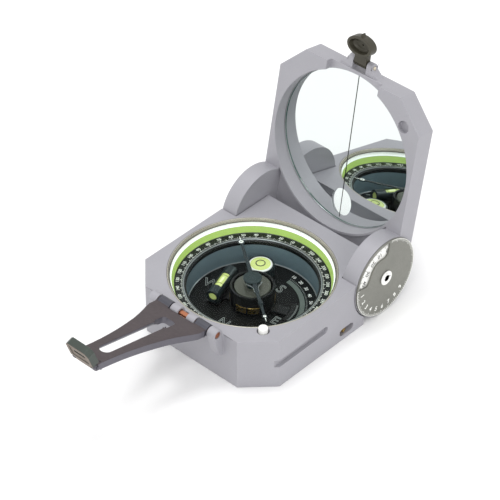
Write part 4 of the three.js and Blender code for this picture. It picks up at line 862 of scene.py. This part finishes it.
def round_level():
    at = AT_CLINO @ placed(*polar(ROUND_LEVEL_CIRCLE, ROUND_LEVEL_ANGLE))
    cup = turned(
        [(0, 7.85), (5.5, 7.85), (5.6, 7.95), (5.6, 12.35), (5.4, 12.6), (5.0, 12.6), (4.85, 12.4),
         (4.85, 8.85), (0, 8.85)],
        72,
    )
    cup = moved(smooth(cup, 40), at)
    finished(cup, "round_level_body", BLUED, "clinometer", ["round_level_cup"])
    dome = [(4.75 * across, 12.35 + 0.8 * up) for across, up in (polar(1, a) for a in range(0, 90, 9))]
    glass = turned([(0, 9.1), (4.75, 9.1), *dome, (0, 13.15)], 72)
    finished(moved(smooth(glass, 60), at), "round_vial", LIQUID_WITH_GLOW, "clinometer", ["round_level_glass"])
    # A white ring at the vial's glass edge: a painted highlight on the glass.
    edge = turned([(4.8, 12.3), (4.8, 12.5), (4.5, 12.72), (4.05, 12.8), (4.05, 12.6)], 72)
    finished(moved(smooth(edge, 60), at), "round_vial_edge_painted_highlight", WHITE, "clinometer")
    mark = turned([(2.0, 12.95), (2.0, 13.17), (1.62, 13.2), (1.62, 12.95)], 48)
    finished(moved(mark, at), "round_vial_mark", BLACK_INK, "clinometer")
    bubble = turned([(0, 12.9), (1.45, 12.9), (1.3, 13.12), (0.8, 13.24), (0, 13.28)], 40)
    bubble = moved(smooth(bubble, 60), at @ placed(0.5, 0.4))
    finished(bubble, "round_bubble", LIQUID_WITH_GLOW, "clinometer")


# ---------- lid ----------


def lid_outline():
    right = [(HALF_WIDTH - LID_CHAMFER, -LID_END), (HALF_WIDTH, -LID_END + LID_CHAMFER), (HALF_WIDTH, 0)]
    return right + [(-x, y) for x, y in reversed(right)]


def peep_lug(side):
    outline = [(3.3, -71), (3.3, -PEEP_AXIS_U), (6.0, -PEEP_AXIS_U), (11.3, -71)]
    web = prism([(side * x, y) for x, y in outline], PEEP_AXIS_W - 1.85, PEEP_AXIS_W + 1.85)
    barrel = rod_x(1.9, *span(side, 3.3, 6.0), -PEEP_AXIS_U, PEEP_AXIS_W)
    return web, barrel


def lid_frame():
    slab = prism(lid_outline(), LID_FRONT, LID_BACK)
    recess = carved(
        box(-EAR_INNER_X, EAR_INNER_X, -22, 2, 0, 7.4), cut=[rod(RING_OUTER, -1, 9, 0, -RING_CENTRE, 160)]
    )
    slab = carved(slab, cut=[box(-28.2, 28.2, -0.6, 2, 0, 20), recess])
    ears = [rod_x(EAR_RADIUS, *span(side, EAR_INNER_X, HALF_WIDTH), 0, 0, 128) for side in (1, -1)]
    lugs = [piece for side in (1, -1) for piece in peep_lug(side)]
    cut = [
        rod(MIRROR_OPENING - 0.05, 0, 13.6, 0, -RING_CENTRE, 192),
        box(-13, 13, -LID_END - 1.5, -60, 0, 8.4),
        rod(2.45, 0, 7.7, 27.55, -61.05),
        prism(oval(*WINDOW_HALF, 0, WINDOW_Y), 11, 16),
        rod_x(16.2, 34.95, FAR, 0, 0, 128),
        rod_x(2.05, 27, FAR),
        rod_x(2.05, -FAR, -27),
        rod_x(0.8, -10, 10, -PEEP_AXIS_U, PEEP_AXIS_W, 24),
    ]
    return edged(carved(slab, add=[*ears, *lugs], cut=cut), 0.25, 2)


def mirror_pieces():
    radius = MIRROR_OPENING - 0.5
    low = RING_CENTRE + WINDOW_Y
    silver = carved(rod(radius, 0, 0.1, steps=192), cut=[prism(oval(*WINDOW_HALF, 0, low), -1, 1)])
    finished(moved(smooth(silver, 20), AT_MIRROR), "mirror_silver", MIRROR, "lid", ["mirror_glass"])
    window = moved(prism(oval(4.95, 6.1, 0, low), 0.02, 0.09), AT_MIRROR)
    finished(window, "mirror_window", WINDOW, "lid")
    line = box(-0.17, 0.17, -radius, radius - 1, -0.08, -0.02)
    finished(moved(line, AT_MIRROR), "sight_line", LINE_INK_AND_SHADE, "lid")
    edge = turned([(33.38, -0.3), (33.38, 0.1), (33.02, 0.1), (33.02, -0.2), (33.1, -0.3)], 192)
    finished(moved(smooth(edge, 30), AT_MIRROR), "mirror_glass_edge", GLASS_EDGE, "lid")
    seal = turned([(33.38, -0.6), (33.38, -0.32), (33.12, -0.32), (33.2, -0.6)], 160)
    finished(moved(smooth(seal, 30), AT_MIRROR), "mirror_seal", STEP_GREY, "lid", ["mirror_gasket"])


def peep_sight():
    head = prism(oval(6.0, 3.95, 0, -8.0, 72), -4.3, -0.5)
    dish = turned([(0, -0.9), (0.62, -0.95), (0.88, -1.6), (1.0, -3.4), (1.0, -6), (0, -6)], 72)
    moved(dish, Matrix.Translation(Vector((0, -8.0, -0.85)) * MM) @ Matrix.Diagonal((4.75, 2.8, 1, 1)))
    spike = prism([(-1.0, -11.6), (-0.15, -13.2), (0.15, -13.2), (1.0, -11.6)], -3.2, -1.6)
    shape = carved(
        head,
        add=[rod_x(1.85, -3, 3, steps=40), box(-3, 3, -5.2, 0.3, -1.85, 0.7), spike],
        cut=[dish, rod(0.35, -6, 1, 0, -8.0, 24), rod_x(0.85, -4, 4, steps=24)],
    )
    return moved(edged(shape, 0.18, 2), AT_PEEP)


def ear_pieces():
    # The plate's scale window, as (radius, angle).
    gap = [(16.35, 84), (16.45, 100), (16.5, 120), (16.5, 140), (16.5, 160), (16.3, 169), (15.9, 170.5),
           (11.4, 171), (10.7, 168), (10.3, 160), (10.3, 150), (10.6, 138), (11.0, 126), (11.0, 114),
           (10.4, 102), (10.0, 94), (10.6, 87), (11.6, 83.5), (15.8, 83)]
    window = prism([polar(r, a) for r, a in smooth_loop(gap)], 34, 38)
    plate = carved(rod(17.05, 35.55, 36.3, steps=160), cut=[window, rod(2.3, 30, 40)])
    plate = moved(edged(plate, 0.12), AT_EAR)
    finished(plate, "ear_plate", PLATE_GREY, "lid", ["inclinometer_plate"])
    lower = [a for a in range(172, 172 + 268, 3)]

    def long_every_fifth(angle):
        return 15.6 if (angle - 172) % 15 == 0 else 16.0

    rim = ticks("rim", lower, long_every_fifth, 16.75, 0.16, 36.29, 36.33, AT_EAR)
    rim = joined("rim", [rim, moved(prism(sector(16.95, 16.8, 172, 440, 120), 36.29, 36.33), AT_EAR)])
    finished(rim, "ear_plate_ticks", WHITE_INK_WITH_GLOW, "lid")
    values = ["1", "2", "3", "4", "5", "6", "7", "8", "9"]
    plate_text = ring_marks(values, 2.7, 13.9, 36.3, 184, 16, facing=90)
    numbers = lettering("plate_numbers", plate_text, AT_EAR, weight=0.02)
    finished(numbers, "ear_plate_numbers", WHITE_INK_WITH_GLOW, "lid")
    scale = carved(rod(15.9, 35.05, 35.4, steps=128), cut=[rod(2.0, 30, 40)])
    finished(moved(edged(scale, 0.05, 1), AT_EAR), "ear_scale", WHITE, "case", ["angle_scale"])
    fine = ticks("scale_ticks", [0.5 * a for a in range(0, 720, 4)],
                 lambda a: 14.0 if a % 10 == 0 else 14.8, 15.8, 0.15, 35.39, 35.43, AT_EAR)
    finished(fine, "ear_scale_ticks", BLACK_INK, "case")
    labels = [str(v) for v in (0, 10, 20, 30, 40, 50, 60, 70, 80)] * 2
    scale_text = ring_marks(labels, 2.6, 12.5, 35.4, 84, 20, facing=90)
    text = lettering("scale_numbers", scale_text, AT_EAR, weight=0.015)
    finished(text, "ear_scale_numbers", BLACK_INK, "case")


def smooth_loop(points, rounds=2):
    """Corner cutting round a closed loop."""
    for _ in range(rounds):
        following = points[1:] + points[:1]
        points = [
            (a[0] * (1 - share) + b[0] * share, a[1] * (1 - share) + b[1] * share)
            for a, b in zip(points, following)
            for share in (0.25, 0.75)
        ]
    return points


def hinge_screw(side, inner, outer, name, material, node):
    radius = HINGE_SCREW_HEAD
    head = turned(
        [(0, inner), (radius, inner), (radius, outer - 0.15), (radius - 0.15, outer), (0, outer)], 64
    )
    lobes = [(1.15 + 0.28 * math.cos(6 * math.radians(a)), a) for a in range(0, 360, 6)]
    star = [polar(r, a) for r, a in lobes]
    socket = prism(star, outer - 0.4, outer + 1)
    shank = rod(1.9, 21.2, inner + 0.1, steps=32)
    shape = edged(carved(head, add=[shank], cut=[socket]), 0.07)
    # A near-black sheet on the socket's floor: painted shade in the recess.
    socket_shade = prism([(x * 0.98, y * 0.98) for x, y in star], outer - 0.39, outer - 0.34)
    flip = AT_EAR if side > 0 else AT_LEFT_EAR
    finished(moved(shape, flip), name, material, "case", [node])
    finished(moved(socket_shade, flip), name + "_socket_painted_shade", LINE_INK_AND_SHADE, "case")


# ---------- sighting arm ----------


def arm_outline():
    # Half width against distance from the hinge.
    half = [(13.0, 2.75), (13.0, 6.2), (12.3, 8.6), (11.2, 11.6), (10.0, 15.2), (8.9, 19.4), (8.0, 24.0),
            (7.2, 29.0), (6.6, 34.0), (6.15, 39.0), (5.95, 44.0), (5.9, 50.4)]
    return [(x, -s) for x, s in half][::-1] + [(-x, -s) for x, s in half]


def arm_shape():
    body = prism(arm_outline(), ARM_BOTTOM, ARM_TOP)
    knuckles, roots = [], []
    for side in (1, -1):
        knuckles.append(rod_x(KNUCKLE_RADIUS - 0.05, *span(side, 6.65, 12.85), 0, 0, 64))
        roots.append(box(*span(side, 6.65, 12.85), -3.4, 0, ARM_BOTTOM, ARM_TOP))
        knuckles.append(rod_x(1.45, *span(side, 4.35, TIP_HALF), TIP_AXIS_Y, TIP_AXIS_Z, 40))
        roots.append(box(*span(side, 4.35, TIP_HALF), TIP_AXIS_Y, TIP_AXIS_Y + 2.5, -1.85, 1.0))
    slot = prism(crossed(obround(-44.95, -13.45, 2.45)), -5, 5)
    wide = prism(rounded(-3.1, 3.1, -14.4, -8.4, 1.4), -5, 5)
    relief = taper(
        crossed(obround(-46.6, -9.6, 4.3)),
        crossed(obround(-44.9, -10.6, 2.4)),
        ARM_BOTTOM - 0.1,
        ARM_TOP - 0.8,
    )
    tip_bore = rod_x(0.65, -10, 10, TIP_AXIS_Y, TIP_AXIS_Z, 24)
    shape = carved(body, add=[*knuckles, *roots], cut=[slot, wide, relief, rod_x(1.5, -20, 20), tip_bore])
    return edged(shape, 0.3, 2)


def tip_shape():
    half = TIP_HALF
    outline = [(-half, -1.8), (-half, -8.4), (-4.3, -10), (4.3, -10), (half, -8.4), (half, -1.8)]
    leaf = prism(outline, -1.6, 1.7)
    hollow = box(-4.3, 4.3, -8.6, -3.0, -3, -1.25)
    shape = carved(
        leaf,
        add=[box(-4.05, 4.05, -2.4, 0, -1.4, 1.4), rod_x(1.4, -4.05, 4.05, steps=40)],
        cut=[box(-2.8, 2.8, -6.4, -5.2, -5, 5), rod_x(0.75, -10, 10, steps=24), hollow],
    )
    return edged(shape, 0.25, 2)


def build():
    finished(base_case(), "box_casting", CASE, "case", ["base_case"])
    bottom_pieces()
    screw = declination_screw()
    finished(screw, "declination_head", BRASS, "declination_screw", ["declination_screw"])
    dial_pieces()
    needle_pieces()
    clinometer_pieces()
    finished(moved(lid_frame(), AT_LID), "lid_casting", CASE, "lid", ["lid_frame"])
    mirror_pieces()
    finished(peep_sight(), "peep", DARK_OLIVE, "peep_sight", ["peep_sight"])
    ear_pieces()
    hinge_screw(1, 36.5, 37.0, "right_hinge_screw", WHITE, "hinge_screw_right")
    hinge_screw(-1, 35.6, 36.3, "left_hinge_screw", STEEL, "hinge_screw_left")
    arm_pieces()
    lift_pieces()
    paint_carried()


def arm_pieces():
    arm = moved(arm_shape(), AT_ARM)
    up = (AT_ARM.to_3x3() @ Vector((0, 0, 1))).normalized()
    finished(arm, "slotted_arm", ARM, "sight_arm", ["sight_arm"], second=ARM_LIT_SIDE)
    # Faces that do not look up get the lighter painted-light copy of the paint.
    repaint(arm, lambda normal, centre: abs(normal.dot(up)) < 0.75)
    arm.data.materials.append(KNUCKLE)
    repaint(arm, lambda normal, centre: math.hypot(centre.y - SIGHT_Y, centre.z - SIGHT_Z) < 2.6, 2)
    tip = moved(tip_shape(), AT_TIP)
    facing = (AT_TIP.to_3x3() @ Vector((0, 0, -1))).normalized()
    finished(tip, "tip", DARK_GREEN, "tip_sight", ["tip_sight"], second=TIP_PAINTED_REFLECTION)
    # The underside gets the beige-brown painted reflection of the floor.
    repaint(tip, lambda normal, centre: normal.dot(facing) > 0.9)
    pin = moved(
        turned([(0, -16.9), (1.1, -16.9), (1.3, -16.7), (1.3, 16.7), (1.1, 16.9), (0, 16.9)], 48),
        placed(0, SIGHT_Y, SIGHT_Z) @ placed(axis="Y", angle=90),
    )
    finished(smooth(pin, 35), "sight_pin", COPPER, "case", ["sight_hinge_pin"])


def lift_pieces():
    button = turned(
        [(0, 17.6), (1.9, 17.6), (1.9, 24.1), (1.78, 24.5), (1.4, 24.82), (0.8, 24.9), (0, 24.9)], 48
    )
    button = moved(smooth(button, 45), placed(PIN_X, PIN_Y))
    finished(button, "lift_button", WHITE, "lift_pin", ["lift_pin"])
    steps = 45
    turns = [math.radians(24 * i) for i in range(steps + 1)]
    wire = [
        (PIN_X + 1.4 * math.cos(a), PIN_Y + 1.4 * math.sin(a), 15.3 + 2.0 * i / steps)
        for i, a in enumerate(turns)
    ]
    spring = finished(tube("spring", wire, 0.18), "pin_spring", STEEL, "case", ["lift_spring"])
    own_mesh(spring)


def paint_carried():
    """The CAD nodes that show as they are."""
    carried = {
        "pivot_post": STEEL,
        "lever_pin": STEEL,
        "wave_washer_right": STEEL,
        "wave_washer_left": STEEL,
        "lift_lever": STEEL,
        "lift_sleeve": BRASS,
        "clinometer_shaft": STEEL,
        "peep_pin": IVORY,
        "tip_pin": KNUCKLE,
    }
    for node, material in carried.items():
        NODES[node].data.materials.clear()
        NODES[node].data.materials.append(material)


# ---------- floor, light and camera ----------


def stage():
    floor = box(-3000, 3000, -3000, 3000, -40, -0.05, "floor")
    white = surface(
    "floor_white", linear(250, 250, 250), 0.7, mottle=0.004, grain=300, depth=0.0, specular=0.2
)
    floor.data.materials.append(white)
    world = bpy.data.worlds.new("studio")
    SCENE.world = world
    world.use_nodes = True
    world.node_tree.nodes["Background"].inputs["Color"].default_value = (1, 1, 1, 1)
    world.node_tree.nodes["Background"].inputs["Strength"].default_value = 0.92
    area_light("overhead", (-0.15, 0.05, 1.2), (0, 0, 0), 0.4, 3.6)
    area_light("front", (0.42, -0.75, 1.05), (0, 0, 0), 0.4, 2.6)
    area_light("left_fill", (-0.9, -0.7, 0.5), (0, 0, 0.03), 0.6, 0.8)
    area_light("right_fill", (1.0, -0.3, 0.5), (0, 0, 0.03), 0.6, 1.6)


def area_light(name, place, target, size, power):
    data = bpy.data.lights.new(name, "AREA")
    data.shape = "DISK"
    data.size = size
    data.energy = power
    light = bpy.data.objects.new(name, data)
    light.location = place
    light.rotation_euler = (Vector(target) - Vector(place)).to_track_quat("-Z", "Y").to_euler()
    SCENE.collection.objects.link(light)


def camera():
    azimuth, elevation, distance = math.radians(42.83), math.radians(39.35), 0.8944
    target = Vector((-0.00003, -0.00145, 0.03416))
    level = math.cos(elevation)
    back = Vector((math.sin(azimuth) * level, -math.cos(azimuth) * level, math.sin(elevation)))
    data = bpy.data.cameras.new("camera")
    data.sensor_width = 36
    data.lens = 167.7
    eye = bpy.data.objects.new("camera", data)
    eye.location = target + back * distance
    eye.rotation_euler = (-back).to_track_quat("-Z", "Y").to_euler()
    SCENE.collection.objects.link(eye)
    SCENE.camera = eye
    SCENE.view_settings.view_transform = "Standard"


build()
stage()
camera()
